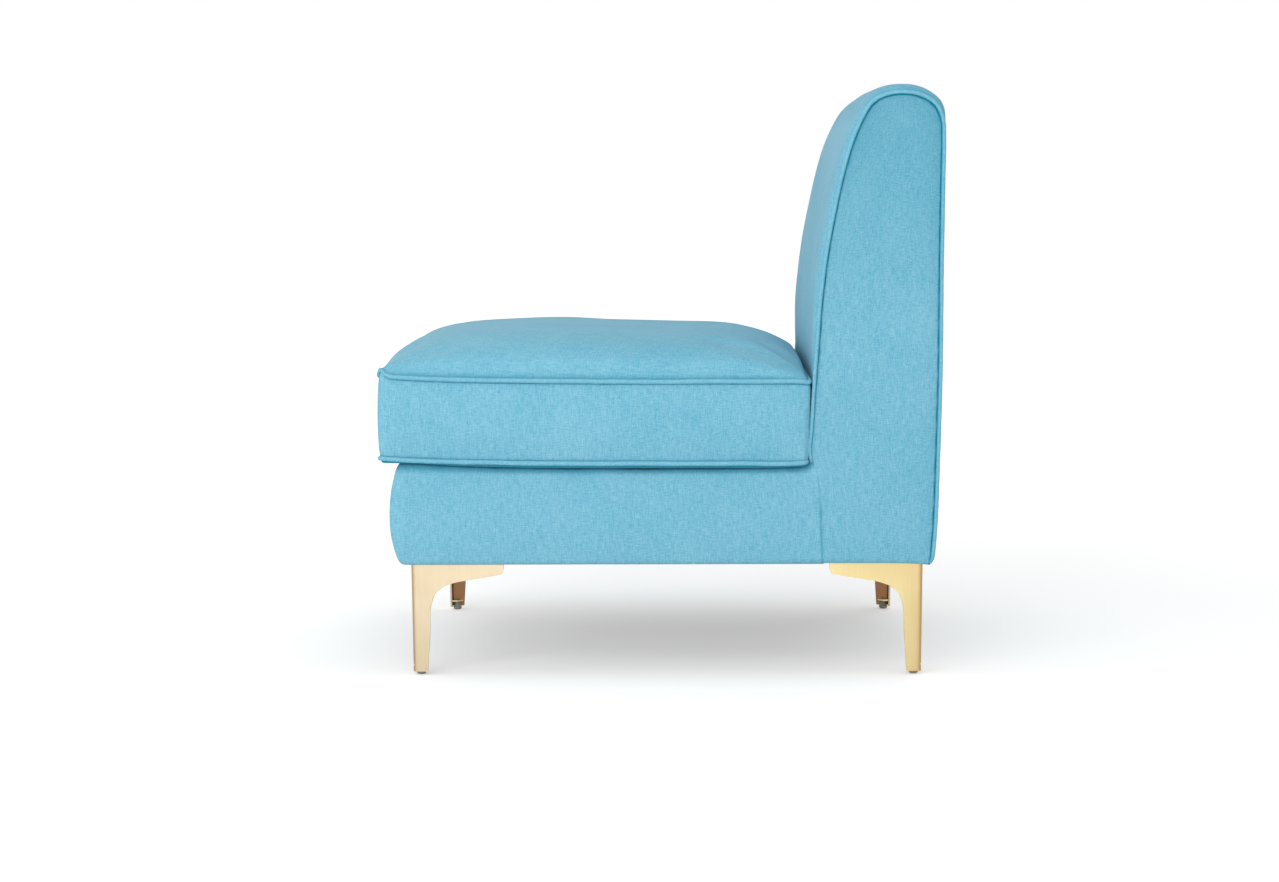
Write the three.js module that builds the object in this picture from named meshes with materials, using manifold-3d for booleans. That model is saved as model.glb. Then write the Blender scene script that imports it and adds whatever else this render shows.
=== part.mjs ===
// Armless slipper chair with a loose box cushion: timber frame, sinuous seat springs, webbed and padded
// back, piped covers and four folded metal legs. Millimetres, +Z up, the sitter faces -Y, +X is the
// sitter's left, and the floor is z = 0.
import * as THREE from 'three';
import { mergeVertices } from 'three/addons/utils/BufferGeometryUtils.js';
import Module from 'manifold-3d';

const wasm = await Module();
wasm.setup();

// Clearance that is left between two pieces that touch
const GAP = 0.3;

// Legs: two folded wings of plate, a top mounting plate with three screws and a web that holds the glide
const LEG_HEIGHT = 154.7;
const LEG_PLATE = 3;
const LEG_WING = 131;
const LEG_BEND = 4;
const LEG_BEND_INSIDE = 1;
const LEG_LEAN = 1.5;
const LEG_SIDE_INSET = 8;
const LEG_FRONT_INSET = 9.2;
const LEG_REAR_INSET = 8.5;
// lower edge of a wing: share of the leg's height above its foot, and share of the wing's length
const LEG_EDGE_SHARES = [
  [0, 0.171], [0.045, 0.175], [0.35, 0.198], [0.653, 0.228], [0.724, 0.264], [0.776, 0.336],
  [0.821, 0.472], [0.844, 0.62], [0.886, 0.916], [0.895, 0.962], [0.911, 0.985], [0.937, 0.998], [1, 1],
];
const TOP_PLATE = 3;
const TOP_PLATE_REACH = 72;
const TOP_PLATE_NOSE = 24;
const WEB_PLATE = 2.5;
const WEB_LIFT = 8.5;
const WEB_REACH_SHARE = 0.94;
const WEB_NOSE_SHARE = 0.6;
const GLIDE_CENTRE = 10.5;
const GLIDE_DROP = 5;
const GLIDE_RADIUS = 7;
const GLIDE_NECK = 3.6;
const GLIDE_FLAT = 3.5;
const GLIDE_ROUND = 3.2;
const GLIDE_STEM = 2.4;
const GLIDE_STEM_UP = 3;
// places of the leg screws, as shares of the top plate's reach from the fold of the leg
const LEG_SCREW_SHARES = [[0.25, 0.25], [0.69, 0.24], [0.24, 0.69]];
const SCREW_SHANK = 2.1;
const SCREW_HEAD = 4.2;
const SCREW_HEAD_DEPTH = 2.4;
const SCREW_BITE = 24;

// Timber frame
const FRAME_WIDTH = 620;
const FRAME_FRONT = 364;
const PLY = 18;
const RAIL = 22;
const SIDE_RAIL_HEIGHT = 115;
const SPRING_RAIL_DROP = 8;
const REAR_RAIL_HEIGHT = 94;
const SPRING_RAIL_HEIGHT = 78;
const LUMBAR_RAIL_HEIGHT = 60;
const LUMBAR_RAIL_LIFT = 46;
const TOP_RAIL_HEIGHT = 62;
const TOP_RAIL_DEPTH = 42;
const TOP_RAIL_BACK = 27;
const BLOCK_REACH = 80;
const BLOCK_HEIGHT = 60;
const BLOCK_NOSE = 10;
const FRAME_INSET = 8;

// Side panel of the covers: its seam is drawn as shares of the back's depth, forward from the rear,
// and of the panel's height, from the front at the deck up over the top and down the rear
const SIDE_HEIGHT = 651.9;
const BACK_DEPTH = 179.5;
const SEAM_REAR = 388.5;
const SEAM_SHARES = [
  [1, 0.2435], [0.989, 0.2773], [0.964, 0.3862], [0.945, 0.458], [0.935, 0.4965], [0.927, 0.5335],
  [0.902, 0.601], [0.877, 0.6547], [0.843, 0.71], [0.81, 0.756], [0.765, 0.8143], [0.714, 0.868],
  [0.669, 0.9064], [0.597, 0.9509], [0.543, 0.9755], [0.485, 0.9885], [0.409, 0.9966], [0.3, 1],
  [0.193, 0.9962], [0.118, 0.9877], [0.059, 0.9755], [0.028, 0.9616], [0.006, 0.9417], [0, 0.9049],
  [0.004, 0.822], [0.011, 0.6547], [0.017, 0.3939], [0.032, 0.222], [0.058, 0.0502], [0.0755, 0],
];
// the same seam below the welt's front end, from the underside up
const LOWER_SEAM_SHARES = [[0.91, 0], [0.933, 0.1407], [0.966, 0.1975]];
// foot of the inside back, tucked behind the cushion
const TUCK_SHARES = [[0.974, 0.208]];
// how far the back's padding rises at each seam point from the tuck to the rear top corner
const PADDING_SHARES = [
  0, 0, 0.1, 0.15, 0.7, 0.85, 0.93, 0.97, 1, 1, 1, 1, 1, 0.95, 0.9, 0.92, 1, 1.1, 1.12, 1.08, 0.98, 0.8, 0.55, 0.17,
];
// how far it rises across the back: share of half the width, share of the crown
const CROWN_SHARES = [[0, 1], [0.317, 0.95], [0.635, 0.78], [0.889, 0.55], [0.952, 0.47], [0.981, 0.31], [1, 0]];
const BACK_CROWN = 14.6;
const BACK_EDGE = 3;
const COVER = 2;
const SIDE_WADDING = 6.2;
const SIDE_PILLOW = 1.9;
const SIDE_ROUND = 2.5;
const SIDE_PILLOW_REACH = 12;
const REAR_COVER = 3;
const REAR_COVER_OFF = 0.5;
const WEBBING = 2;
const WEBBING_WIDTH = 50;
const WEBBING_HEIGHT_SHARES = [0.42, 0.575, 0.72];
const WELT_RADIUS = 3.25;
const WELT_OUT = 3;
const WELT_END = 2.4;

// Cover of the seat base, with its wadding, and the deck that the cushion lies on
const DECK_HEIGHT = 133.6;
const BASE_FRONT_BULGE = 18.6;
const BASE_SIDE_BULGE = 8;
// outside of the base cover: share of the bulge, share of the deck's height
const BASE_SHARES = [
  [0.19, 0], [0.42, 0.05], [0.72, 0.18], [0.93, 0.31], [1, 0.43], [0.91, 0.69], [0.62, 0.9], [0.3, 0.97], [0.02, 1],
];
const BASE_SIDE_LAP = 19.5;
const BASE_FRONT_LAP = 6;
const DUST_COVER = 0.8;
const DUST_INSET = 6;
const DECK_COVER = 1.7;
const INSULATOR = 2.5;

// Sinuous springs
const SPRING_PITCH = 104;
const SPRING_WIRE = 1.8;
const SPRING_SWING = 24;
const SPRING_BULGE = 6;
const SPRING_ARCH = 8;
const SPRING_WAVES = 8;
const WAVE_STEPS = 8;
const CLIP_WIDTH = 26;
const CLIP_DEPTH = 13;
const CLIP_HEIGHT = 4.6;
const CLIP_MARGIN = 7;

// Loose cushion: a box with a boxing strip, two crowned panels and two welts
const CUSHION_WIDTH = 648;
const CUSHION_DEPTH = 597.5;
const CUSHION_REAR = 202;
const CUSHION_CORNER = 14;
const CUSHION_WELT_LIFT = 4;
const CUSHION_WELT_HEIGHT = 115.5;
const CUSHION_WELT_OUT = 2.6;
const CUSHION_CROWN = 70;
const CUSHION_BULGE = 2.5;
const CROWN_POWER = 4;
const CROWN_FALL_SHARE = 0.42;
const EAR_RISE = 12;
const EAR_REACH = 80;
const FRONT_RISE = 8.5;
const FRONT_RISE_REACH = 130;
const REAR_RISE = 3;
const REAR_RISE_REACH = 12;
const WELT_CLEAR = 2.3;
const PANEL_TUCK = 0.6;
const PANEL_RING_SHARES = [0.45, 0.7, 0.84, 0.92, 0.97];
const FLOOR_RING_SHARES = [0.5, 0.93];
const BOXING_ROW_SHARES = [0, 0.33, 0.67, 1];
const PERIMETER_STEPS = 5;
const CORNER_STEPS = 4;
const ZIP_LENGTH = 470;
const ZIP_TAPE = 1;
const ZIP_WIDTH = 14;
const SLIDER_LENGTH = 11;
const SLIDER_WIDTH = 8;
const SLIDER_THICK = 2.2;
const SLIDER_NECK_SHARE = 0.55;
const SLIDER_BEVEL = 0.4;
const SLIDER_END = 12;

// Facet counts
const CORD_SIDES = 6;
const WIRE_SIDES = 5;
const ROUND_SIDES = 12;
const HOLE_SIDES = 8;

// One cut overrun, used wherever a piece is fused into its neighbour
const BITE = 1.2;

// Levels and lines that follow from the sizes above
const legTop = GLIDE_DROP + LEG_HEIGHT;
const dustBottom = legTop + GAP;
const frameBottom = dustBottom + DUST_COVER + GAP;
const sideRailTop = frameBottom + SIDE_RAIL_HEIGHT;
const springRailTop = sideRailTop - SPRING_RAIL_DROP;
const deckTop = frameBottom + DECK_HEIGHT;
const frameOut = FRAME_WIDTH / 2;
const frameIn = frameOut - PLY;
const railEnd = frameIn - GAP;
const sideCoverIn = frameOut + GAP;
const weltX = sideCoverIn + SIDE_WADDING + WELT_RADIUS - BITE + GAP;
const coverEdge = weltX - WELT_RADIUS - GAP;

// Closed body from points and triangles, turned so that its faces point out
function body(points, faces) {
  let volume = 0;
  for (const [a, b, c] of faces) {
    const [p, q, r] = [points[a], points[b], points[c]];
    volume += p[0] * (q[1] * r[2] - q[2] * r[1]) - p[1] * (q[0] * r[2] - q[2] * r[0])
      + p[2] * (q[0] * r[1] - q[1] * r[0]);
  }
  const index = faces.flatMap(([a, b, c]) => (volume > 0 ? [a, b, c] : [a, c, b]));
  const geometry = new THREE.BufferGeometry();
  geometry.setAttribute('position', new THREE.Float32BufferAttribute(points.flat(), 3));
  geometry.setIndex(index);
  return geometry;
}

// Triangles of a flat loop, wound in the loop's own direction
function capFaces(loop, plane) {
  const axes = { xy: [0, 1], yz: [1, 2], xz: [0, 2] }[plane];
  const flat = loop.map((p) => new THREE.Vector2(p[axes[0]], p[axes[1]]));
  const way = Math.sign(THREE.ShapeUtils.area(flat));
  return THREE.ShapeUtils.triangulateShape(flat, []).map(([a, b, c]) => {
    const turn = Math.sign(THREE.ShapeUtils.area([flat[a], flat[b], flat[c]]));
    return turn === way ? [a, b, c] : [a, c, b];
  });
}

// Body through a row of sections with the same number of points. The ends are flat in a plane,
// or run to a point, or the row closes on itself.
function loft(sections, { plane = null, first = null, last = null, closed = false } = {}) {
  const across = sections[0].length;
  const points = sections.flat();
  const faces = [];
  const rows = closed ? sections.length : sections.length - 1;
  for (let i = 0; i < rows; i++) {
    const here = i * across;
    const next = ((i + 1) % sections.length) * across;
    for (let k = 0; k < across; k++) {
      const l = (k + 1) % across;
      faces.push([here + k, here + l, next + l], [here + k, next + l, next + k]);
    }
  }
  const end = (sections.length - 1) * across;
  if (first) {
    points.push(first);
    for (let k = 0; k < across; k++) faces.push([points.length - 1, (k + 1) % across, k]);
  } else if (!closed) {
    for (const [a, b, c] of capFaces(sections[0], plane)) faces.push([a, c, b]);
  }
  if (last) {
    points.push(last);
    for (let k = 0; k < across; k++) faces.push([points.length - 1, end + k, end + ((k + 1) % across)]);
  } else if (!closed) {
    for (const [a, b, c] of capFaces(sections[sections.length - 1], plane)) faces.push([end + a, end + b, end + c]);
  }
  return body(points, faces);
}

// Outward directions of a line of [along, up] points, lengthened at each bend so that offsets stay parallel
function outward(line, closed = false) {
  const count = line.length;
  const normals = line.map((p, i) => {
    const q = line[(i + 1) % count];
    const length = Math.hypot(q[0] - p[0], q[1] - p[1]);
    return [-(q[1] - p[1]) / length, (q[0] - p[0]) / length];
  });
  return line.map((p, i) => {
    const after = !closed && i === count - 1 ? normals[i - 1] : normals[i];
    const before = !closed && i === 0 ? after : normals[(i + count - 1) % count];
    const fit = 1 + before[0] * after[0] + before[1] * after[1];
    return [(before[0] + after[0]) / fit, (before[1] + after[1]) / fit];
  });
}

const offset = (line, normals, by) => line.map((p, i) => {
  const out = Array.isArray(by) ? by[i] : by;
  return [p[0] + normals[i][0] * out, p[1] + normals[i][1] * out];
});

// Value of a table of [at, value] pairs between its entries
function between(table, at) {
  for (let i = 1; i < table.length; i++) {
    if (at <= table[i][0]) {
      const share = (at - table[i - 1][0]) / (table[i][0] - table[i - 1][0]);
      return table[i - 1][1] + (table[i][1] - table[i - 1][1]) * share;
    }
  }
  return table[table.length - 1][1];
}

// Round cord: at each point a circle spanned by two directions
function cord(path, sideways, upright, radius, sides, options) {
  const rings = path.map((p, i) => {
    const [s, u] = [sideways[i], upright];
    return Array.from({ length: sides }, (_, k) => {
      const turn = (2 * Math.PI * k) / sides;
      return p.map((v, axis) => v + radius * (Math.cos(turn) * s[axis] + Math.sin(turn) * u[axis]));
    });
  });
  return loft(rings, options);
}

function block(x0, x1, y0, y1, z0, z1) {
  const box = new THREE.BoxGeometry(x1 - x0, y1 - y0, z1 - z0);
  return box.translate((x0 + x1) / 2, (y0 + y1) / 2, (z0 + z1) / 2);
}

// Upright plate from a plan outline with round holes
function plate(outline, holes, z0, z1) {
  const corners = outline.map(([x, y]) => new THREE.Vector2(x, y));
  const shape = new THREE.Shape(THREE.ShapeUtils.isClockWise(corners) ? corners.reverse() : corners);
  for (const [x, y, radius] of holes) {
    const ring = Array.from({ length: HOLE_SIDES }, (_, k) => {
      const turn = (-2 * Math.PI * k) / HOLE_SIDES;
      return new THREE.Vector2(x + radius * Math.cos(turn), y + radius * Math.sin(turn));
    });
    shape.holes.push(new THREE.Path(ring));
  }
  const geometry = new THREE.ExtrudeGeometry(shape, { depth: z1 - z0, bevelEnabled: false });
  return geometry.translate(0, 0, z0);
}

// Turned piece from [radius, height] points, standing on a point of the plan
function turned(profile, x, y, z) {
  const geometry = new THREE.LatheGeometry(profile.map(([r, h]) => new THREE.Vector2(r, h)), ROUND_SIDES);
  return geometry.rotateX(Math.PI / 2).translate(x, y, z);
}

function fused(geometries) {
  const solids = geometries.map((geometry) => {
    const plain = geometry.clone();
    plain.deleteAttribute('normal');
    plain.deleteAttribute('uv');
    const merged = mergeVertices(plain);
    return new wasm.Manifold(new wasm.Mesh({
      numProp: 3,
      vertProperties: Float32Array.from(merged.attributes.position.array),
      triVerts: Uint32Array.from(merged.index.array),
    }));
  });
  const mesh = solids.reduce((joined, solid) => joined.add(solid)).getMesh();
  const geometry = new THREE.BufferGeometry();
  geometry.setAttribute('position', new THREE.Float32BufferAttribute(mesh.vertProperties, 3));
  geometry.setIndex(new THREE.Uint32BufferAttribute(mesh.triVerts, 1));
  return geometry;
}

const material = (color, roughness, metalness) => new THREE.MeshStandardMaterial({ color, roughness, metalness });
const MATERIALS = {
  upholstery: material(0x82c3da, 0.9, 0),
  welt: material(0x7cbfd6, 0.9, 0),
  leg: material(0xe9d3a6, 0.32, 1),
  glide: material(0x6b6a64, 0.6, 0),
  timber: material(0xb98d5c, 0.8, 0),
  ply: material(0xc9a675, 0.75, 0),
  spring: material(0x55575a, 0.4, 1),
  foam: material(0xe8e2cf, 0.95, 0),
  felt: material(0x8b8780, 1, 0),
  lining: material(0x2a2b2d, 1, 0),
  zip: material(0x6fb3cb, 0.6, 0),
  screw: material(0x9a9a98, 0.35, 1),
};

const chair = new THREE.Group();
function add(name, slot, geometry) {
  geometry.computeVertexNormals();
  const mesh = new THREE.Mesh(geometry, MATERIALS[slot]);
  mesh.name = name;
  chair.add(mesh);
}

const SIDES = [['left', 1], ['right', -1]];

// Seam of the side panel, in [depth, height], and the lines that run beside it
const seamPoint = ([forward, up]) => [SEAM_REAR - forward * BACK_DEPTH, frameBottom + up * SIDE_HEIGHT];
const seam = SEAM_SHARES.map(seamPoint);
const lowerSeam = LOWER_SEAM_SHARES.map(seamPoint);
const tuckedSeam = [...TUCK_SHARES.map(seamPoint), ...seam];
const tuckedOut = outward(tuckedSeam);
const backLine = tuckedSeam.slice(0, PADDING_SHARES.length);
const backOut = tuckedOut.slice(0, PADDING_SHARES.length);
const rearCorner = PADDING_SHARES.length - 1;
const seamOut = outward(seam);

// Frame: two L-shaped plywood sides joined by rails, with a block in each lower corner
const uprightLine = offset(tuckedSeam, tuckedOut, tuckedSeam.map((_, i) => (i < rearCorner ? -FRAME_INSET : 0)));
const sideFrameLine = [
  ...uprightLine,
  [-FRAME_FRONT, frameBottom],
  [-FRAME_FRONT, sideRailTop],
  [uprightLine[0][0], sideRailTop],
];
for (const [side, sign] of SIDES) {
  const face = (x) => sideFrameLine.map(([y, z]) => [sign * x, y, z]);
  add(`${side}_side_frame`, 'ply', loft([face(frameIn), face(frameOut)], { plane: 'yz' }));
}
const frontRailBack = RAIL - FRAME_FRONT;
const frameRear = seam[seam.length - 1][0];
const rearRailFront = frameRear - RAIL;
const springRailFront = lowerSeam[0][0];
const lumbarFront = seam[2][0] + FRAME_INSET + GAP;
const lumbarBottom = sideRailTop + LUMBAR_RAIL_LIFT;
const topRailTop = frameBottom + SIDE_HEIGHT - FRAME_INSET - LEG_BEND - COVER * 2;
const topRailRear = SEAM_REAR - TOP_RAIL_BACK;
add('front_rail', 'timber', block(-railEnd, railEnd, -FRAME_FRONT, frontRailBack, frameBottom, springRailTop));
add('rear_rail', 'timber',
  block(-railEnd, railEnd, rearRailFront, frameRear, frameBottom, frameBottom + REAR_RAIL_HEIGHT));
add('spring_rail', 'timber', block(-railEnd, railEnd, springRailFront, springRailFront + RAIL,
  springRailTop - SPRING_RAIL_HEIGHT, springRailTop));
add('lumbar_rail', 'timber', block(-railEnd, railEnd, lumbarFront, lumbarFront + RAIL,
  lumbarBottom, lumbarBottom + LUMBAR_RAIL_HEIGHT));
add('top_rail', 'timber', block(-railEnd, railEnd, topRailRear - TOP_RAIL_DEPTH, topRailRear,
  topRailTop - TOP_RAIL_HEIGHT, topRailTop));

// Corners of the base: each leg's fold, and the direction in which its wings run inward
const legX = frameOut - LEG_SIDE_INSET;
const CORNERS = [
  ['front_left', 1, -1, LEG_FRONT_INSET - FRAME_FRONT, frontRailBack + GAP],
  ['front_right', -1, -1, LEG_FRONT_INSET - FRAME_FRONT, frontRailBack + GAP],
  ['rear_left', 1, 1, frameRear - LEG_REAR_INSET, rearRailFront - GAP],
  ['rear_right', -1, 1, frameRear - LEG_REAR_INSET, rearRailFront - GAP],
];
const screwSpots = LEG_SCREW_SHARES.map(([a, b]) => [
  LEG_PLATE + a * TOP_PLATE_REACH, LEG_PLATE + b * TOP_PLATE_REACH,
]);
const dustHoles = [];
for (const [corner, sx, sy, foldY, blockY] of CORNERS) {
  const plan = ([a, b]) => [sx * (legX - a), foldY - sy * b];
  const place = ([a, b, z]) => [...plan([a, b]), z];

  // triangular glue block with a pilot hole for each leg screw
  const blockPlan = [
    [0, 0], [BLOCK_REACH, 0], [BLOCK_REACH, BLOCK_NOSE], [BLOCK_NOSE, BLOCK_REACH], [0, BLOCK_REACH],
  ].map(([a, b]) => [sx * (railEnd - a), blockY - sy * b]);
  const pilots = screwSpots.map((spot) => [...plan(spot), SCREW_SHANK + GAP]);
  dustHoles.push(...pilots);
  add(`corner_block_${corner}`, 'timber', plate(blockPlan, pilots, frameBottom, frameBottom + BLOCK_HEIGHT));

  // the two wings, one folded plate that narrows to the foot
  const sections = LEG_EDGE_SHARES.map(([up, reach]) => {
    const lean = LEG_LEAN * (1 - up);
    const wing = LEG_WING * reach;
    const inner = lean + LEG_PLATE;
    const z = GLIDE_DROP + up * LEG_HEIGHT;
    const arc = (centre, radius, steps, way) => Array.from({ length: steps + 1 }, (_, k) => {
      const turn = (Math.PI / 2) * (way > 0 ? k / steps : 1 - k / steps);
      return [centre - radius * Math.sin(turn), centre - radius * Math.cos(turn), z];
    });
    return [
      [wing, lean, z], ...arc(lean + LEG_BEND, LEG_BEND, 4, 1), [lean, wing, z], [inner, wing, z],
      ...arc(inner + LEG_BEND_INSIDE, LEG_BEND_INSIDE, 2, -1), [wing, inner, z],
    ].map(place);
  });
  const inWall = LEG_LEAN + BITE;
  const nosed = (reach, nose) => [[inWall, inWall], [reach, inWall], [reach, nose], [nose, reach], [inWall, reach]];
  const topPlate = plate(nosed(TOP_PLATE_REACH, TOP_PLATE_NOSE).map(plan),
    screwSpots.map((spot) => [...plan(spot), SCREW_SHANK + GAP]), legTop - TOP_PLATE, legTop);
  const footReach = LEG_WING * LEG_EDGE_SHARES[0][1] * WEB_REACH_SHARE;
  const glideAt = plan([GLIDE_CENTRE + LEG_LEAN, GLIDE_CENTRE + LEG_LEAN]);
  const web = plate(nosed(footReach, footReach * WEB_NOSE_SHARE).map(plan),
    [[...glideAt, GLIDE_STEM + GAP]], GLIDE_DROP + WEB_LIFT, GLIDE_DROP + WEB_LIFT + WEB_PLATE);
  add(`leg_${corner}`, 'leg', fused([loft(sections, { plane: 'xy' }), topPlate, web]));

  // tapered glide, its stem pressed up through the web
  const neckTop = GLIDE_DROP + WEB_LIFT - GAP;
  add(`glide_${corner}`, 'glide', turned([
    [0, 0], [GLIDE_FLAT, 0], [(GLIDE_FLAT + GLIDE_RADIUS * 5) / 6, GLIDE_ROUND / 3], [GLIDE_RADIUS, GLIDE_ROUND],
    [GLIDE_NECK, neckTop], [GLIDE_STEM, neckTop], [GLIDE_STEM, neckTop + GAP + WEB_PLATE + GLIDE_STEM_UP],
    [0, neckTop + GAP + WEB_PLATE + GLIDE_STEM_UP],
  ], ...glideAt, 0));

  // screws through the top plate into the block
  screwSpots.forEach((spot, i) => {
    const headTop = legTop - TOP_PLATE - GAP;
    add(`leg_screw_${corner}_${i + 1}`, 'screw', turned([
      [0, -SCREW_HEAD_DEPTH], [SCREW_HEAD * SLIDER_NECK_SHARE, -SCREW_HEAD_DEPTH], [SCREW_HEAD, 0],
      [SCREW_SHANK, 0], [SCREW_SHANK, SCREW_BITE], [0, SCREW_BITE + SCREW_SHANK],
    ], ...plan(spot), headTop));
  });
}

// Underside: a thin dust cover, pierced where the leg screws pass
const dustOut = frameOut - DUST_INSET;
const dustFront = DUST_INSET - FRAME_FRONT;
const dustRear = frameRear - DUST_INSET;
add('dust_cover', 'lining', plate(
  [[-dustOut, dustFront], [dustOut, dustFront], [dustOut, dustRear], [-dustOut, dustRear]],
  dustHoles, dustBottom, dustBottom + DUST_COVER));

// Sinuous seat springs, front to rear, each held by a clip at both ends
const wireEndZ = springRailTop + GAP + CLIP_HEIGHT / 2;
const springFront = CLIP_MARGIN + CLIP_DEPTH / 2 - FRAME_FRONT;
const springRear = springRailFront + RAIL / 2;
const springCentre = (y) => {
  const half = (springRear - springFront) / 2;
  const from = (y - (springFront + springRear) / 2) / half;
  return wireEndZ + SPRING_ARCH * Math.max(0, 1 - from * from);
};
const steps = SPRING_WAVES * WAVE_STEPS;
for (let i = 0; i < 5; i++) {
  const x = (i - 2) * SPRING_PITCH;
  const at = (k) => {
    const turn = (2 * Math.PI * k) / WAVE_STEPS;
    const y = springFront + ((springRear - springFront) * k) / steps - SPRING_BULGE * Math.sin(2 * turn);
    return [x + SPRING_SWING * Math.sin(turn), y, springCentre(y)];
  };
  const path = Array.from({ length: steps + 1 }, (_, k) => at(k));
  const sideways = path.map((p, k) => {
    const [a, b] = [at(k - 0.1), at(k + 0.1)];
    const length = Math.hypot(b[0] - a[0], b[1] - a[1]);
    return [-(b[1] - a[1]) / length, (b[0] - a[0]) / length, 0];
  });
  const wire = cord(path, sideways, [0, 0, 1], SPRING_WIRE, WIRE_SIDES, { plane: 'xz' });
  const clips = [springFront, springRear].map((y) => block(x - CLIP_WIDTH / 2, x + CLIP_WIDTH / 2,
    y - CLIP_DEPTH / 2, y + CLIP_DEPTH / 2, springRailTop + GAP, springRailTop + GAP + CLIP_HEIGHT));
  add(`seat_spring_${i + 1}`, 'spring', fused([wire, ...clips]));
}

// Felt over the springs, foam over the felt and cloth over the foam
const deckHalf = frameOut - BASE_SIDE_LAP - GAP;
const deckFront = BASE_FRONT_LAP + GAP - FRAME_FRONT;
const deckRear = springRailFront - FRAME_INSET - GAP;
const feltFront = springFront + CLIP_DEPTH / 2 + GAP;
const feltStations = Array.from({ length: 9 }, (_, k) => feltFront + ((deckRear - feltFront) * k) / 8);
const feltBottom = (y) => springCentre(y) + SPRING_WIRE + GAP;
const strip = (half, y, z0, z1) => [[-half, y, z0], [half, y, z0], [half, y, z1], [-half, y, z1]];
add('spring_insulator', 'felt', loft(
  feltStations.map((y) => strip(deckHalf, y, feltBottom(y), feltBottom(y) + INSULATOR)), { plane: 'xz' }));
const foamTop = deckTop - DECK_COVER - GAP;
add('deck_pad', 'foam', loft(
  [deckFront, ...feltStations].map((y) => strip(deckHalf, y,
    feltBottom(Math.max(y, feltFront)) + INSULATOR + GAP, foamTop)), { plane: 'xz' }));
add('deck_cover', 'lining', block(-deckHalf, deckHalf, deckFront, deckRear, foamTop + GAP, deckTop));

// Base cover: one padded band round the front and both sides, lapped over the rails
const lowerSeamAt = (z) => between([...lowerSeam, seam[0]].map(([y, height]) => [height, y]), z) - GAP;
const baseLoop = [
  ...BASE_SHARES.map(([out, up]) => [out * BASE_SIDE_BULGE, out * BASE_FRONT_BULGE, frameBottom + up * DECK_HEIGHT]),
  [-BASE_SIDE_LAP, -BASE_FRONT_LAP, deckTop],
  [-BASE_SIDE_LAP, -BASE_FRONT_LAP, sideRailTop + GAP],
  [GAP, GAP, sideRailTop + GAP],
  [GAP, GAP, frameBottom],
];
const TURN_STEPS = 4;
const baseStations = [];
for (const [way, count] of [['side', 2], ['turn', TURN_STEPS], ['front', 4]]) {
  for (let k = 0; k < count; k++) baseStations.push([way, k / count]);
}
const baseSection = (way, share, mirror) => baseLoop.map(([outSide, outFront, z]) => {
  const radiusSide = Math.max(outSide, GAP);
  const radiusFront = Math.max(outFront, GAP);
  const foldX = frameOut + outSide - radiusSide;
  const foldY = radiusFront - outFront - FRAME_FRONT;
  const turn = way === 'turn' ? (share * Math.PI) / 2 : 0;
  if (way === 'side') {
    return [mirror * (foldX + radiusSide), lowerSeamAt(z) + (foldY - lowerSeamAt(z)) * share, z];
  }
  if (way === 'front') return [mirror * foldX * (1 - share), foldY - radiusFront, z];
  return [mirror * (foldX + radiusSide * Math.cos(turn)), foldY - radiusFront * Math.sin(turn), z];
});
const leftHalf = baseStations.map(([way, share]) => baseSection(way, share, 1));
const rightHalf = baseStations.map(([way, share]) => baseSection(way, share, -1)).reverse();
add('base_cover', 'upholstery', loft([...leftHalf, baseSection('front', 1, 1), ...rightHalf], { plane: 'xz' }));

// Side panels: cover and wadding over the plywood, with a slight pillow
const panelLine = [...seam, ...lowerSeam];
const panelOut = outward(panelLine, true);
for (const [side, sign] of SIDES) {
  const ring = (x, inset) => offset(panelLine, panelOut, -inset).map(([y, z]) => [sign * x, y, z]);
  const face = sideCoverIn + SIDE_WADDING;
  add(`${side}_side_cover`, 'upholstery', loft([
    ring(sideCoverIn, 0), ring(face, 0), ring(face + SIDE_PILLOW * 0.7, SIDE_ROUND),
    ring(face + SIDE_PILLOW, SIDE_PILLOW_REACH),
  ], { plane: 'yz' }));

  // welt round the side panel, from the seat up over the top and down the rear
  const weltLine = offset(seam, seamOut, WELT_OUT);
  weltLine[weltLine.length - 1][1] += WELT_END;
  add(`${side}_back_welt`, 'welt', cord(
    weltLine.map(([y, z]) => [sign * weltX, y, z]),
    outward(weltLine).map(([y, z]) => [0, y, z]), [1, 0, 0], WELT_RADIUS, CORD_SIDES, { plane: 'xy' }));
}

// Webbing across the front of the back frame
const lengthAlong = backLine.reduce((list, p, i) => {
  list.push(i ? list[i - 1] + Math.hypot(p[0] - backLine[i - 1][0], p[1] - backLine[i - 1][1]) : 0);
  return list;
}, []);
const stretch = (from, to) => {
  const pick = (at) => {
    const i = Math.max(1, lengthAlong.findIndex((v) => v >= at));
    const share = (at - lengthAlong[i - 1]) / (lengthAlong[i] - lengthAlong[i - 1]);
    const mix = (a, b) => [a[0] + (b[0] - a[0]) * share, a[1] + (b[1] - a[1]) * share];
    return { p: mix(backLine[i - 1], backLine[i]), segment: i };
  };
  const [start, end] = [pick(from), pick(to)];
  const flat = (i) => outward([backLine[i - 1], backLine[i]])[0];
  const inner = backLine.slice(start.segment, end.segment);
  return {
    line: [start.p, ...inner, end.p],
    normals: [flat(start.segment), ...backOut.slice(start.segment, end.segment), flat(end.segment)],
  };
};
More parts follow.
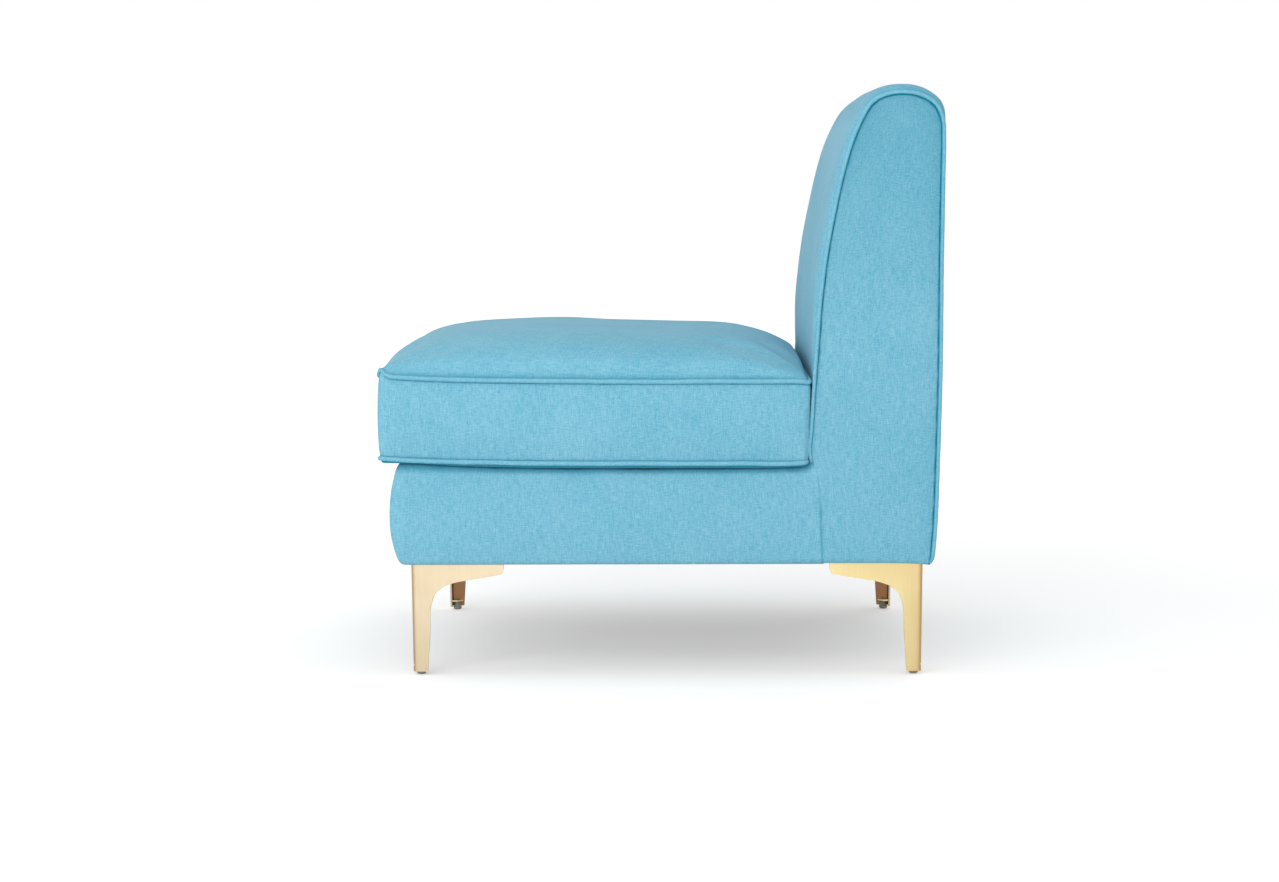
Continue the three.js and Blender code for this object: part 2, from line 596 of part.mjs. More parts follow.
WEBBING_HEIGHT_SHARES.forEach((share, i) => {
  const height = frameBottom + share * SIDE_HEIGHT;
  const middle = between(backLine.map((p, k) => [p[1], lengthAlong[k]]), height);
  const { line, normals } = stretch(middle - WEBBING_WIDTH / 2, middle + WEBBING_WIDTH / 2);
  const outer = offset(line, normals, GAP + WEBBING - FRAME_INSET);
  const inner = offset(line, normals, GAP - FRAME_INSET).reverse();
  const section = (x) => [...outer, ...inner].map(([y, z]) => [x, y, z]);
  add(`back_webbing_${i + 1}`, 'felt', loft([section(-frameOut + GAP), section(frameOut - GAP)], { plane: 'yz' }));
});

// Back: foam in front of the webbing and over the top rail, and the cover over it
const backStations = [...CROWN_SHARES.slice(1).reverse().map(([at]) => -at), ...CROWN_SHARES.map(([at]) => at)];
const rise = (at, i) => BACK_EDGE + BACK_CROWN * between(CROWN_SHARES, Math.abs(at)) * PADDING_SHARES[i];
const backSection = (at, x, from, to, outside, inside) => {
  const part = (out) => offset(backLine, backOut, backLine.map((_, i) => out(i))).slice(from, to);
  return [...part(outside), ...part(inside).reverse()].map(([y, z]) => [x, y, z]);
};
const padTop = backLine.length - 2;
const padStations = backStations.filter((at) => Math.abs(at) * coverEdge < frameOut);
add('back_pad', 'foam', loft(padStations.map((at) => backSection(at, at * coverEdge, 0, padTop,
  () => WEBBING + GAP * 2 - FRAME_INSET, (i) => rise(at, i) - COVER - GAP)), { plane: 'yz' }));
add('inside_back_cover', 'upholstery', loft(backStations.map((at) => backSection(
  at, at * coverEdge, 0, backLine.length, (i) => rise(at, i), (i) => rise(at, i) - COVER)), { plane: 'yz' }));

// Outside back, blind-stitched under the rear top edge and pulled down to the underside
const rearLine = tuckedSeam.slice(rearCorner);
const rearOut = tuckedOut.slice(rearCorner);
rearLine[0] = rearLine[0].map((v, axis) => v + (rearLine[1][axis] - v) * (GAP / WELT_RADIUS));
rearOut[0] = outward([rearLine[0], rearLine[1]])[0];
const rearSection = (x) => [
  ...offset(rearLine, rearOut, REAR_COVER_OFF + REAR_COVER), ...offset(rearLine, rearOut, REAR_COVER_OFF).reverse(),
].map(([y, z]) => [x, y, z]);
add('outside_back_cover', 'upholstery', loft([-coverEdge, coverEdge].map(rearSection), { plane: 'yz' }));

// Cushion plan: a rectangle with rounded corners, as points with outward directions
const cushionHalf = CUSHION_WIDTH / 2;
const cushionDeep = CUSHION_DEPTH / 2;
const cushionY = CUSHION_REAR - cushionDeep;
const plan = [];
for (const [sx, sy, from] of [[1, 1, 0], [-1, 1, 1], [-1, -1, 2], [1, -1, 3]]) {
  const [cx, cy] = [sx * (cushionHalf - CUSHION_CORNER), sy * (cushionDeep - CUSHION_CORNER)];
  for (let k = 0; k <= CORNER_STEPS; k++) {
    const turn = ((from + k / CORNER_STEPS) * Math.PI) / 2;
    const out = [Math.cos(turn), Math.sin(turn)];
    plan.push({ at: [cx + CUSHION_CORNER * out[0], cy + CUSHION_CORNER * out[1]], out });
  }
  const next = from % 2 ? [sx * cushionHalf, -sy * (cushionDeep - CUSHION_CORNER)]
    : [-sx * (cushionHalf - CUSHION_CORNER), sy * cushionDeep];
  const last = plan[plan.length - 1];
  for (let k = 1; k < PERIMETER_STEPS; k++) {
    const share = k / PERIMETER_STEPS;
    plan.push({ at: last.at.map((v, axis) => v + (next[axis] - v) * share), out: last.out });
  }
}
const bottomWelt = deckTop + GAP + WELT_RADIUS + CUSHION_WELT_LIFT;
const topWelt = bottomWelt + CUSHION_WELT_HEIGHT;
const upperEdge = ([x, y]) => {
  const away = Math.hypot(cushionHalf - Math.abs(x), cushionDeep - Math.abs(y));
  return topWelt + (y < 0 ? EAR_RISE * Math.exp(-away / EAR_REACH) : 0);
};
const lowerEdge = ([, y]) => bottomWelt + FRONT_RISE * Math.exp(-(y + cushionDeep) / FRONT_RISE_REACH)
  + REAR_RISE * Math.exp(-(cushionDeep - y) / REAR_RISE_REACH);
const crown = (x, y) => CUSHION_CROWN * [x / cushionHalf, y / cushionDeep].reduce(
  (all, share) => all * Math.max(0, 1 - Math.abs(share) ** CROWN_POWER) ** CROWN_FALL_SHARE, 1);
const planRing = (out, height) => plan.map(({ at, out: n }) => [
  at[0] + n[0] * out, at[1] + n[1] * out + cushionY, height(at)]);

// crowned surface of the top panel, sunk by a thickness along its own slope
const topRing = (share, sink) => plan.map(({ at }) => {
  const [x, y] = [at[0] * share, at[1] * share];
  const height = (u, v) => crown(u, v) + WELT_CLEAR + topWelt
    + (upperEdge(at) - topWelt) * Math.max(Math.abs(u / cushionHalf), Math.abs(v / cushionDeep)) ** (CROWN_POWER * 4);
  const slope = [height(x + BITE, y) - height(x - BITE, y), height(x, y + BITE) - height(x, y - BITE)]
    .map((d) => -d / (2 * BITE));
  const length = Math.hypot(slope[0], slope[1], 1);
  return [x - (slope[0] * sink) / length, y - (slope[1] * sink) / length + cushionY, height(x, y) - sink / length];
});
const apex = (sink) => [0, cushionY, topWelt + WELT_CLEAR + CUSHION_CROWN - sink];
const panelRings = (sink) => PANEL_RING_SHARES.map((share) => topRing(share, sink));
const edgeRing = (inset, lift) => planRing(-inset, (at) => upperEdge(at) + lift);
add('cushion_top_panel', 'upholstery', loft([
  ...panelRings(0), edgeRing(PANEL_TUCK, WELT_CLEAR), edgeRing(PANEL_TUCK + COVER, WELT_CLEAR - BITE),
  ...panelRings(COVER).reverse(),
], { first: apex(0), last: apex(COVER) }));

const boxingRing = (share, inset) => plan.map(({ at, out }) => {
  const bulge = CUSHION_BULGE * Math.sin(Math.PI * share) * (out[1] > 0.5 ? 0 : 1) - inset;
  const low = lowerEdge(at) + WELT_CLEAR;
  const high = upperEdge(at) - WELT_CLEAR;
  return [at[0] + out[0] * bulge, at[1] + out[1] * bulge + cushionY, low + (high - low) * share];
});
const boxingLoop = plan.map((_, i) => [
  ...BOXING_ROW_SHARES.map((share) => boxingRing(share, COVER)[i]),
  ...[...BOXING_ROW_SHARES].reverse().map((share) => boxingRing(share, 0)[i]),
]);
add('cushion_boxing', 'upholstery', loft(boxingLoop, { closed: true }));

const floorRing = (share, lift) => plan.map(({ at }) => [at[0] * share, at[1] * share + cushionY, deckTop + GAP + lift]);
const floorRings = (lift) => FLOOR_RING_SHARES.map((share) => floorRing(share, lift));
add('cushion_bottom_panel', 'upholstery', loft([
  ...floorRings(COVER), planRing(-PANEL_TUCK - COVER, (at) => lowerEdge(at) - WELT_CLEAR + COVER),
  planRing(-PANEL_TUCK, (at) => lowerEdge(at) - WELT_CLEAR), ...floorRings(0).reverse(),
], { first: [0, cushionY, deckTop + GAP + COVER], last: [0, cushionY, deckTop + GAP] }));

const inCover = COVER + GAP;
add('cushion_core', 'foam', loft([
  ...floorRings(inCover), ...BOXING_ROW_SHARES.map((share) => boxingRing(share, inCover)),
  ...panelRings(inCover).reverse(),
], { first: [0, cushionY, deckTop + GAP + inCover], last: apex(inCover) }));

const flatOut = plan.map(({ out }) => [...out, 0]);
for (const [name, edge] of [['cushion_top_welt', upperEdge], ['cushion_bottom_welt', lowerEdge]]) {
  add(name, 'welt', cord(planRing(CUSHION_WELT_OUT, edge), flatOut, [0, 0, 1], WELT_RADIUS, CORD_SIDES, { closed: true }));
}

// Zip in the rear boxing: closed teeth on their tape, and the slider at one end of them
const zipZ = (bottomWelt + topWelt) / 2;
const zipBack = CUSHION_REAR + GAP;
add('zip_chain', 'zip', block(-ZIP_LENGTH / 2, ZIP_LENGTH / 2, zipBack, zipBack + ZIP_TAPE,
  zipZ - ZIP_WIDTH / 2, zipZ + ZIP_WIDTH / 2));
const sliderNeck = (SLIDER_WIDTH * SLIDER_NECK_SHARE) / 2;
const sliderShape = new THREE.Shape([
  [-SLIDER_LENGTH / 2, -sliderNeck], [0, -SLIDER_WIDTH / 2], [SLIDER_LENGTH / 2, -SLIDER_WIDTH / 2],
  [SLIDER_LENGTH / 2, SLIDER_WIDTH / 2], [0, SLIDER_WIDTH / 2], [-SLIDER_LENGTH / 2, sliderNeck],
].map(([x, y]) => new THREE.Vector2(x, y)));
const slider = new THREE.ExtrudeGeometry(sliderShape, {
  depth: SLIDER_THICK - SLIDER_BEVEL * 2, bevelThickness: SLIDER_BEVEL, bevelSize: SLIDER_BEVEL, bevelSegments: 1,
});
slider.translate(0, 0, SLIDER_BEVEL).rotateX(-Math.PI / 2);
slider.translate(ZIP_LENGTH / 2 - SLIDER_END, zipBack + ZIP_TAPE + GAP, zipZ);
add('zip_slider', 'spring', slider);

// Stand the chair centred over the origin
const extent = new THREE.Box3().setFromObject(chair);
chair.position.set(-(extent.min.x + extent.max.x) / 2, -(extent.min.y + extent.max.y) / 2, -extent.min.z);

export default chair;
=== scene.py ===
# Armless slipper chair with a loose box cushion and folded metal legs: the looks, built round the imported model.
# Metres, +Z up, the sitter faces -Y, +X is the sitter's left, and the floor is z = 0.
import math

import bpy
import numpy as np
from mathutils import Matrix, Vector


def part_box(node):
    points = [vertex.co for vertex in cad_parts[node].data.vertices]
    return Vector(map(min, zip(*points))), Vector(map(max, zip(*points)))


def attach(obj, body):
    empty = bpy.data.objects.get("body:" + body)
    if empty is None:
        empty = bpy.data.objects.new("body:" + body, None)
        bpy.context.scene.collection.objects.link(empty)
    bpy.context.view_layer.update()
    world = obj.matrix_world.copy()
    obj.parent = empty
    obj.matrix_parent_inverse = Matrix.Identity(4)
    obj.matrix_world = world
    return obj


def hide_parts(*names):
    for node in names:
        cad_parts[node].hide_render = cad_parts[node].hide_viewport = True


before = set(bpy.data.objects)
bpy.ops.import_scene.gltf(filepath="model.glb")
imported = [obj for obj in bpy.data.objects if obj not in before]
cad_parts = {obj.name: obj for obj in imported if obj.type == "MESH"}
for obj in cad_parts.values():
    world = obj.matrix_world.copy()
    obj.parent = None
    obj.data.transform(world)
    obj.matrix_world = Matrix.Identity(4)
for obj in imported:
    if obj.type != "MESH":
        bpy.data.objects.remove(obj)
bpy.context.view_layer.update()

scene = bpy.context.scene
scene.view_settings.view_transform = 'Standard'


# --- Studio ------------------------------------------------------------------------------------------
# A long lens 3.6 m from the near side, just above the cushion's height, and a white sweep of floor lit by
# large soft lamps. The floor and the world look white to the camera and in the metal, and light the
# fabric at a plain level.
def put(tree, kind, *values, out=0, named=None, **settings):
    """Adds one node to a tree, sets its options, fills or links its sockets in order or by name, and
    gives back one of its outputs."""
    node = tree.nodes.new('ShaderNode' + kind)
    for key, value in settings.items():
        setattr(node, key, value)
    given = list(zip(node.inputs, values)) + [(node.inputs[key], v) for key, v in (named or {}).items()]
    for socket, value in given:
        if isinstance(value, bpy.types.NodeSocket):
            tree.links.new(value, socket)
        elif value is not None:
            socket.default_value = value
    return node.outputs[out] if node.outputs else node


def mix(tree, share, a, b, blend='MIX'):
    """Lays the second colour over the first by a share, and gives back the colour."""
    return put(tree, 'Mix', named={0: share, 6: a, 7: b}, out=2, data_type='RGBA', blend_type=blend)


def two_tone(tree, value, low, high, ends=(0, 1)):
    """A colour that runs from one to another while a value runs between two ends."""
    ramp = put(tree, 'ValToRGB', value)
    for element, place, colour in zip(ramp.node.color_ramp.elements, ends, (low, high)):
        element.position, element.color = place, (*colour, 1)
    return ramp


def surface(tree, named):
    """Ends a material's tree with its shader, whose sockets are given by name."""
    put(tree, 'OutputMaterial', put(tree, 'BsdfPrincipled', named=named))


def blank(name):
    """A material with an empty node tree, and the tree."""
    made = bpy.data.materials.new(name)
    made.use_nodes = True
    made.node_tree.nodes.clear()
    return made, made.node_tree


LENS_PIXELS, PICTURE_WIDE, SENSOR = 2623, 1279, 36
PITCH, YAW, ROLL = math.radians(5.4228), math.radians(1.1198), 0.005
CAMERA_PLACE = (3.964, 0.0436, 0.6801)

forward = Vector((-math.cos(PITCH) * math.cos(YAW), -math.cos(PITCH) * math.sin(YAW), -math.sin(PITCH)))
level = Vector((-math.sin(YAW), math.cos(YAW), 0))
lifted = level.cross(forward)
right = level * math.cos(ROLL) - lifted * math.sin(ROLL)
upward = lifted * math.cos(ROLL) + level * math.sin(ROLL)
lens = bpy.data.cameras.new("camera")
lens.sensor_width = SENSOR
lens.lens = LENS_PIXELS * SENSOR / PICTURE_WIDE
camera = bpy.data.objects.new("camera", lens)
scene.collection.objects.link(camera)
axes = Matrix((right, upward, -forward)).transposed().to_4x4()
camera.matrix_world = Matrix.Translation(CAMERA_PLACE) @ axes
scene.camera = camera

LAMPS = {  # place, side length of the soft box, power
    "key_lamp": ((3.6, -1.9, 2.6), 2.6, 52),
    "side_lamp": ((4.8, -0.1, 1.0), 2.4, 66),
    "fill_lamp": ((1.0, -4.2, 1.8), 2.6, 34),
    "top_lamp": ((0.3, 0.4, 3.4), 1.8, 12),
    "rear_lamp": ((-3.2, 2.6, 2.4), 2.6, 17),
}
for name, (place, side, power) in LAMPS.items():
    light = bpy.data.lights.new(name, 'AREA')
    light.size = side
    light.energy = power
    lamp = bpy.data.objects.new(name, light)
    lamp.location = place
    lamp.rotation_euler = (Vector((0, 0, 0.4)) - Vector(place)).to_track_quat('-Z', 'Y').to_euler()
    scene.collection.objects.link(lamp)


def seen_by_eye(tree):
    """One for rays of the camera, reflections and glass, and nothing for the light that falls on things."""
    rays = [put(tree, 'LightPath', out=k) for k in ('Is Camera Ray', 'Is Glossy Ray', 'Is Transmission Ray')]
    either = put(tree, 'Math', rays[0], rays[1], operation='MAXIMUM')
    return put(tree, 'Math', either, rays[2], operation='MAXIMUM')


WORLD_LIGHT = 0.55
sky = bpy.data.worlds.new("studio")
sky.use_nodes = True
sky.node_tree.nodes.clear()
strength = put(sky.node_tree, 'MapRange', seen_by_eye(sky.node_tree), 0, 1, WORLD_LIGHT, 1)
put(sky.node_tree, 'OutputWorld', put(sky.node_tree, 'Background', (1, 1, 1, 1), strength))
scene.world = sky

FLOOR_REACH, NEAR_GLOW, FAR_GLOW = 30, 0.38, 0.62
floor_mesh = bpy.data.meshes.new("floor")
floor_mesh.from_pydata([(-FLOOR_REACH, -FLOOR_REACH, 0), (FLOOR_REACH, -FLOOR_REACH, 0),
                        (FLOOR_REACH, FLOOR_REACH, 0), (-FLOOR_REACH, FLOOR_REACH, 0)], [], [(0, 1, 2, 3)])
floor = bpy.data.objects.new("floor", floor_mesh)
scene.collection.objects.link(floor)
floor_white, tree = blank("floor_white")
away = put(tree, 'VectorMath', put(tree, 'TexCoord', out='Object'), operation='LENGTH', out='Value')
glow = put(tree, 'MapRange', away, 0.9, 3.5, NEAR_GLOW, FAR_GLOW, interpolation_type='SMOOTHSTEP')
glow = put(tree, 'Math', seen_by_eye(tree), glow, operation='MULTIPLY')
lit = put(tree, 'BsdfDiffuse', (0.8, 0.8, 0.8, 1))
put(tree, 'OutputMaterial', put(tree, 'AddShader', lit, put(tree, 'Emission', (1, 1, 1, 1), glow)))
floor_mesh.materials.append(floor_white)


# --- Loose cushion: crowned top, boxing and bottom --------------------------------------------------
# A box cushion of soft woven chenille, cut as a top panel, a boxing strip and a bottom panel and sewn
# over foam. The panels are one closed skin whose seams are held while air pressure swells it as cloth,
# and it is then cut apart at the seams.
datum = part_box("front_rail")[0].y + 0.364  # the drawing's zero line, 364 mm behind the front rail's face
HALF_WIDE, HALF_DEEP, CUSHION_REAR, FRONT_CORNER, REAR_CORNER = 0.3238, 0.3004, 0.2053, 0.014, 0.007
CUSHION_MID = datum + CUSHION_REAR - HALF_DEEP
BOTTOM_SEAM, TOP_SEAM, CROWN, BOXING_SWELL = 0.3022, 0.4177, 0.0725, 0.0024
REAR_LEAN = 0.0030
FABRIC = 0.0012


def graded(length, ends, step):
    """Stations along a length: the given close ones at both ends, then even steps between them."""
    ends = np.array(ends)
    middle = np.linspace(ends[-1], length - ends[-1], round((length - 2 * ends[-1]) / step) + 1)
    return np.concatenate([ends[:-1], middle, length - ends[-2::-1]])


def rounded_plan(x, y):
    """The cushion's plan: a rectangle whose corner squares are pressed into quarter discs. In a corner
    square with sides p and q from 0 to 1, p becomes p times the root of 1 - q squared / 2, and q alike."""
    corner = np.where(y < 0, FRONT_CORNER, REAR_CORNER)
    p = np.clip((np.abs(x) - HALF_WIDE + corner) / corner, 0, 1)
    q = np.clip((np.abs(y) - HALF_DEEP + corner) / corner, 0, 1)
    round_x = HALF_WIDE - corner + corner * p * np.sqrt(1 - q * q / 2)
    round_y = HALF_DEEP - corner + corner * q * np.sqrt(1 - p * p / 2)
    return (np.where(p > 0, np.sign(x) * round_x, x), np.where(q > 0, np.sign(y) * round_y, y))


def top_seam_height(x, y):
    """Height of the upper seam: level, drawn up towards the front corners, which turn up as small ears,
    and turned down a little at the rear corners."""
    away = np.hypot(HALF_WIDE - np.abs(x), HALF_DEEP - np.abs(y))
    front = 0.0094 * np.exp(-away / 0.105) + 0.0400 * np.exp(-away / 0.0040)
    return TOP_SEAM + np.where(y < 0, front, -0.0009 * np.exp(-away / 0.120) - 0.0035 * np.exp(-away / 0.006))


def bottom_seam_height(x, y):
    """Height of the lower seam: level, drawn up along the front edge, and turned up short at the rear."""
    rear = -0.0015 * np.exp((y - HALF_DEEP) / 0.030) + 0.0030 * np.exp((y - HALF_DEEP) / 0.0120)
    droop = 1 - 0.42 * np.exp(-(y + HALF_DEEP) / 0.020) * (1 - (x / HALF_WIDE) ** 6)
    return BOTTOM_SEAM + 0.0085 * droop * np.exp(-(y + HALF_DEEP) / 0.130) + rear


def edge_rise(away, half, step, reach, bend, soft):
    """Share of the crown's height at a distance in from a seam: a short steep step, and above it a dome, a
    power of 1 minus a power of the share of the half size."""
    out = np.clip(1 - away / half, 0, 1)
    return step * (1 - np.exp(-away / reach)) + (1 - step) * (1 - out ** bend) ** soft


def crown_height(x, y):
    """Rise of the top panel: the shares for the sides, the front and the rear multiplied, sat a little
    lower behind the middle."""
    side = edge_rise(HALF_WIDE - np.abs(x), HALF_WIDE, 0.27, 0.003, 3.4, 0.58)
    front = edge_rise(HALF_DEEP + y, HALF_DEEP, 0.27, 0.003, 3.4, 0.50)
    rear = edge_rise(HALF_DEEP - y, HALF_DEEP, 0.386, 0.002, 4.9, 1.28)
    dip = 1 - 0.105 * np.exp(-((y / HALF_DEEP - 0.40) / 0.5) ** 2)
    return CROWN * dip * side * np.where(y < 0, front, rear)


def waves(a, b, length, seed, count=7):
    """Soft unevenness between -1 and 1: the mean of a few plane waves of about one length, each with a
    direction and phase drawn from the seed."""
    draw = np.random.default_rng(seed)
    total = 0
    for turn, phase, stretch in zip(*draw.uniform((0, 0, 0.7), (np.pi, 2 * np.pi, 1.5), (count, 3)).T):
        total = total + np.sin(2 * np.pi * (a * np.cos(turn) + b * np.sin(turn)) / (length * stretch) + phase)
    return total / count ** 0.5 / 1.5


def quads(grid):
    """The values of a grid of points at the four corners of each of its squares."""
    squares = np.stack([grid[:-1, :-1], grid[:-1, 1:], grid[1:, 1:], grid[1:, :-1]], 2)
    return squares.reshape(-1, *squares.shape[2:])


def grid_faces(rows, cols, ring=False, start=0):
    """Four-sided faces of a grid of points, whose last column meets the first where it is a ring."""
    index = start + np.arange(rows * cols).reshape(rows, cols)
    return quads(np.concatenate([index, index[:, :1]], 1) if ring else index)


def border_of(rows, cols):
    """The numbers of the points round the edge of a grid, its first row first."""
    index = np.arange(rows * cols).reshape(rows, cols)
    return np.concatenate([index[0, :-1], index[:-1, -1], index[-1, :0:-1], index[:0:-1, 0]])


def new_mesh(name, points, faces, sharp=None):
    """An object at the origin with smooth faces, whose edges above an angle in degrees stay sharp."""
    mesh = bpy.data.meshes.new(name)
    mesh.from_pydata(np.asarray(points, float).reshape(-1, 3), [], [list(f) for f in faces])
    mesh.shade_smooth()
    if sharp:
        mesh.set_sharp_from_angle(angle=math.radians(sharp))
    made = bpy.data.objects.new(name, mesh)
    scene.collection.objects.link(made)
    return made


def swell(points, faces, held, pressure, most, stiffness=12, bending=6, frames=20):
    """Blows up a closed skin as cloth with its seams held, and gives back the points, none of which moved
    further than the most that is given."""
    skin = new_mesh("skin_being_swollen", points, faces)
    pins = skin.vertex_groups.new(name="seams")
    pins.add([int(v) for v in held], 1.0, 'ADD')
    cloth = skin.modifiers.new("cloth", 'CLOTH')
    settings = cloth.settings
    settings.vertex_group_mass = "seams"
    settings.use_pressure = True
    settings.uniform_pressure_force = pressure
    settings.tension_stiffness = settings.compression_stiffness = stiffness
    settings.bending_stiffness = bending
    settings.effector_weights.gravity = 0
    cloth.collision_settings.use_collision = False
    for count in range(1, frames + 1):
        scene.frame_set(count)
    swollen = skin.evaluated_get(bpy.context.evaluated_depsgraph_get())
    moved = np.zeros(points.size)
    swollen.data.vertices.foreach_get('co', moved)
    scene.frame_set(1)
    bpy.data.objects.remove(skin)
    move = moved.reshape(points.shape) - points
    length = np.linalg.norm(move, axis=-1, keepdims=True)
    return points + move * np.minimum(1, most / np.maximum(length, 1e-9))


EDGE_ROLL, REAR_ROLL, EDGE_DROP = 0.0082, 0.0052, 0.0011


def edge_height(y):
    """Height of the base's rounded top edge: just under the deck, rising over the front 100 mm and again
    over the last 20 mm before the back."""
    behind = np.clip(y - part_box("front_rail")[0].y - 0.025, 0, None)
    ahead = np.clip(datum + 0.213 - y, 0, None)
    level_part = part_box("deck_cover")[1].z - EDGE_DROP
    return level_part + EDGE_ROLL * np.exp(-behind / 0.080) + REAR_ROLL * np.exp(-ahead / 0.022)


SEAM_STATIONS, SKIN_STEP = [0, 0.0018, 0.004, 0.0075, 0.012, 0.018, 0.026], 0.0085
WALL_STATIONS = [0, 0.0018, 0.0036, 0.0050, 0.0080, 0.012, 0.018, 0.026]
AIR_PRESSURE, TOP_SWELL, WALL_SWELL, REAR_SWELL = 4.0, 0.0025, 0.0012, 0.0004
BED_GAP = 0.0004
ZIP_REACH, PLACKET_DEPTH, PLACKET_HALF = 0.262, 0.0026, 0.022
across = graded(2 * HALF_WIDE, SEAM_STATIONS, SKIN_STEP) - HALF_WIDE
along = graded(2 * HALF_DEEP, SEAM_STATIONS, SKIN_STEP) - HALF_DEEP
flat_x, flat_y = np.meshgrid(across, along)
plan_x, plan_y = rounded_plan(flat_x, flat_y)
edge_share = np.maximum(np.abs(flat_x) / HALF_WIDE, np.abs(flat_y) / HALF_DEEP)
seam_rise = (top_seam_height(plan_x, plan_y) - TOP_SEAM) * edge_share ** 12
top_z = TOP_SEAM + seam_rise + 0.948 * crown_height(flat_x, flat_y)
edge_in = np.minimum(HALF_WIDE - np.abs(flat_x), HALF_DEEP - np.abs(flat_y))
on_edge = np.clip(np.maximum(np.abs(flat_x) - 0.276, -0.336 - CUSHION_MID + datum - flat_y) / 0.012, 0, 1)
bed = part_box("deck_cover")[1].z + BED_GAP
bed = bed + on_edge * (edge_height(CUSHION_MID + flat_y) + BED_GAP - bed)
lift = 0.72 * np.exp(-edge_in / 0.0009) + 0.28 * np.clip(1 - edge_in / 0.030, 0, 1) ** 1.6
bottom_z = bed + np.maximum(bottom_seam_height(plan_x, plan_y) - bed, 0) * lift
rows, cols = flat_x.shape
rim = border_of(rows, cols)
rim_x, rim_y = plan_x.ravel()[rim], plan_y.ravel()[rim]
rim_step = np.stack([np.roll(rim_x, -1) - np.roll(rim_x, 1), np.roll(rim_y, -1) - np.roll(rim_y, 1)], -1)
rim_out = np.stack([rim_step[:, 1], -rim_step[:, 0]], -1) / np.linalg.norm(rim_step, axis=1, keepdims=True)
BOXING_TALL = TOP_SEAM - BOTTOM_SEAM
height_share = graded(BOXING_TALL, WALL_STATIONS, SKIN_STEP)[:, None] / BOXING_TALL
from_low, from_high = height_share * BOXING_TALL, (1 - height_share) * BOXING_TALL
end_side = np.clip(np.abs(rim_out[:, 1]) * 2 - 1, 0, 1)
low, high = bottom_seam_height(rim_x, rim_y), top_seam_height(rim_x, rim_y)
tuck = -(0.0030 - 0.0018 * end_side) * np.exp(-from_low / 0.0080) - 0.0018 * np.exp(-from_high / 0.0040)
free_side = np.where(rim_out[:, 1] > 0.5, 0.0, 1.0)
bulge = BOXING_SWELL * np.sin(np.pi * height_share ** 0.8) ** 0.7 * free_side + tuck
rear_bulge = 0.0028 * np.clip((np.abs(rim_x) - ZIP_REACH) / 0.045, 0, 1) - REAR_LEAN * (1 - height_share)
# the zip's tape lies in a shallow hollow of the rear boxing
zip_height = (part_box("zip_chain")[0].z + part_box("zip_chain")[1].z) / 2
over_zip = low + (high - low) * height_share - zip_height
placket = np.clip((ZIP_REACH - np.abs(rim_x)) / 0.02, 0, 1) * np.exp(-(over_zip / PLACKET_HALF) ** 4)
bulge = bulge + (rear_bulge - PLACKET_DEPTH * placket) * (1 - free_side)
boxing = np.stack([rim_x + rim_out[:, 0] * bulge, CUSHION_MID + rim_y + rim_out[:, 1] * bulge,
                   low + (high - low) * height_share], -1)
top = np.stack([plan_x, CUSHION_MID + plan_y, top_z], -1)
bottom = np.stack([plan_x, CUSHION_MID + plan_y, bottom_z], -1)
top.reshape(-1, 3)[rim] = boxing[-1]
bottom.reshape(-1, 3)[rim] = boxing[0]

grid_count, rim_count = rows * cols, len(rim)
between = boxing[1:-1].reshape(-1, 3)
skin_points = np.concatenate([top.reshape(-1, 3), bottom.reshape(-1, 3), between])
wall = np.concatenate([[rim + grid_count], 2 * grid_count + np.arange(len(between)).reshape(-1, rim_count), [rim]])
wall = np.concatenate([wall, wall[:, :1]], 1)
skin_faces = np.concatenate([
    grid_faces(rows, cols), grid_faces(rows, cols, start=grid_count)[:, ::-1], quads(wall)])
held = np.concatenate([rim, np.arange(grid_count, 2 * grid_count)])
most = np.full((len(skin_points), 1), WALL_SWELL)
most[:grid_count] = TOP_SWELL
rear_wall = np.abs(skin_points[:, 1] - CUSHION_MID - HALF_DEEP) < 0.006
most[rear_wall & (np.arange(len(most)) >= 2 * grid_count)] = REAR_SWELL
skin_points = swell(skin_points, skin_faces, held, AIR_PRESSURE, most)
top = skin_points[:grid_count].reshape(rows, cols, 3)
boxing[1:-1] = skin_points[2 * grid_count:].reshape(-1, rim_count, 3)


def run_along(line):
    """Distance run at each point of a line."""
    return np.concatenate([[0], np.cumsum(np.linalg.norm(np.diff(line, axis=0), axis=1))])


def run_length(points):
    """Distance run along the middle row and along the middle column of a grid of points."""
    return [run_along(line) for line in (points[len(points) // 2], points[:, points.shape[1] // 2])]


def weave_uv(made, corners):
    """Stores the UV map that the weave follows, a spot for each corner of each face."""
    made.data.uv_layers.new(name="weave").data.foreach_set('uv', np.ravel(corners).astype(np.float32))


def point_mask(made, name, values):
    """Stores a value for each point, under a name that the piece's material reads."""
    mask = made.data.attributes.new(name, 'FLOAT', 'POINT')
    mask.data.foreach_set('value', np.ravel(values).astype(np.float32))


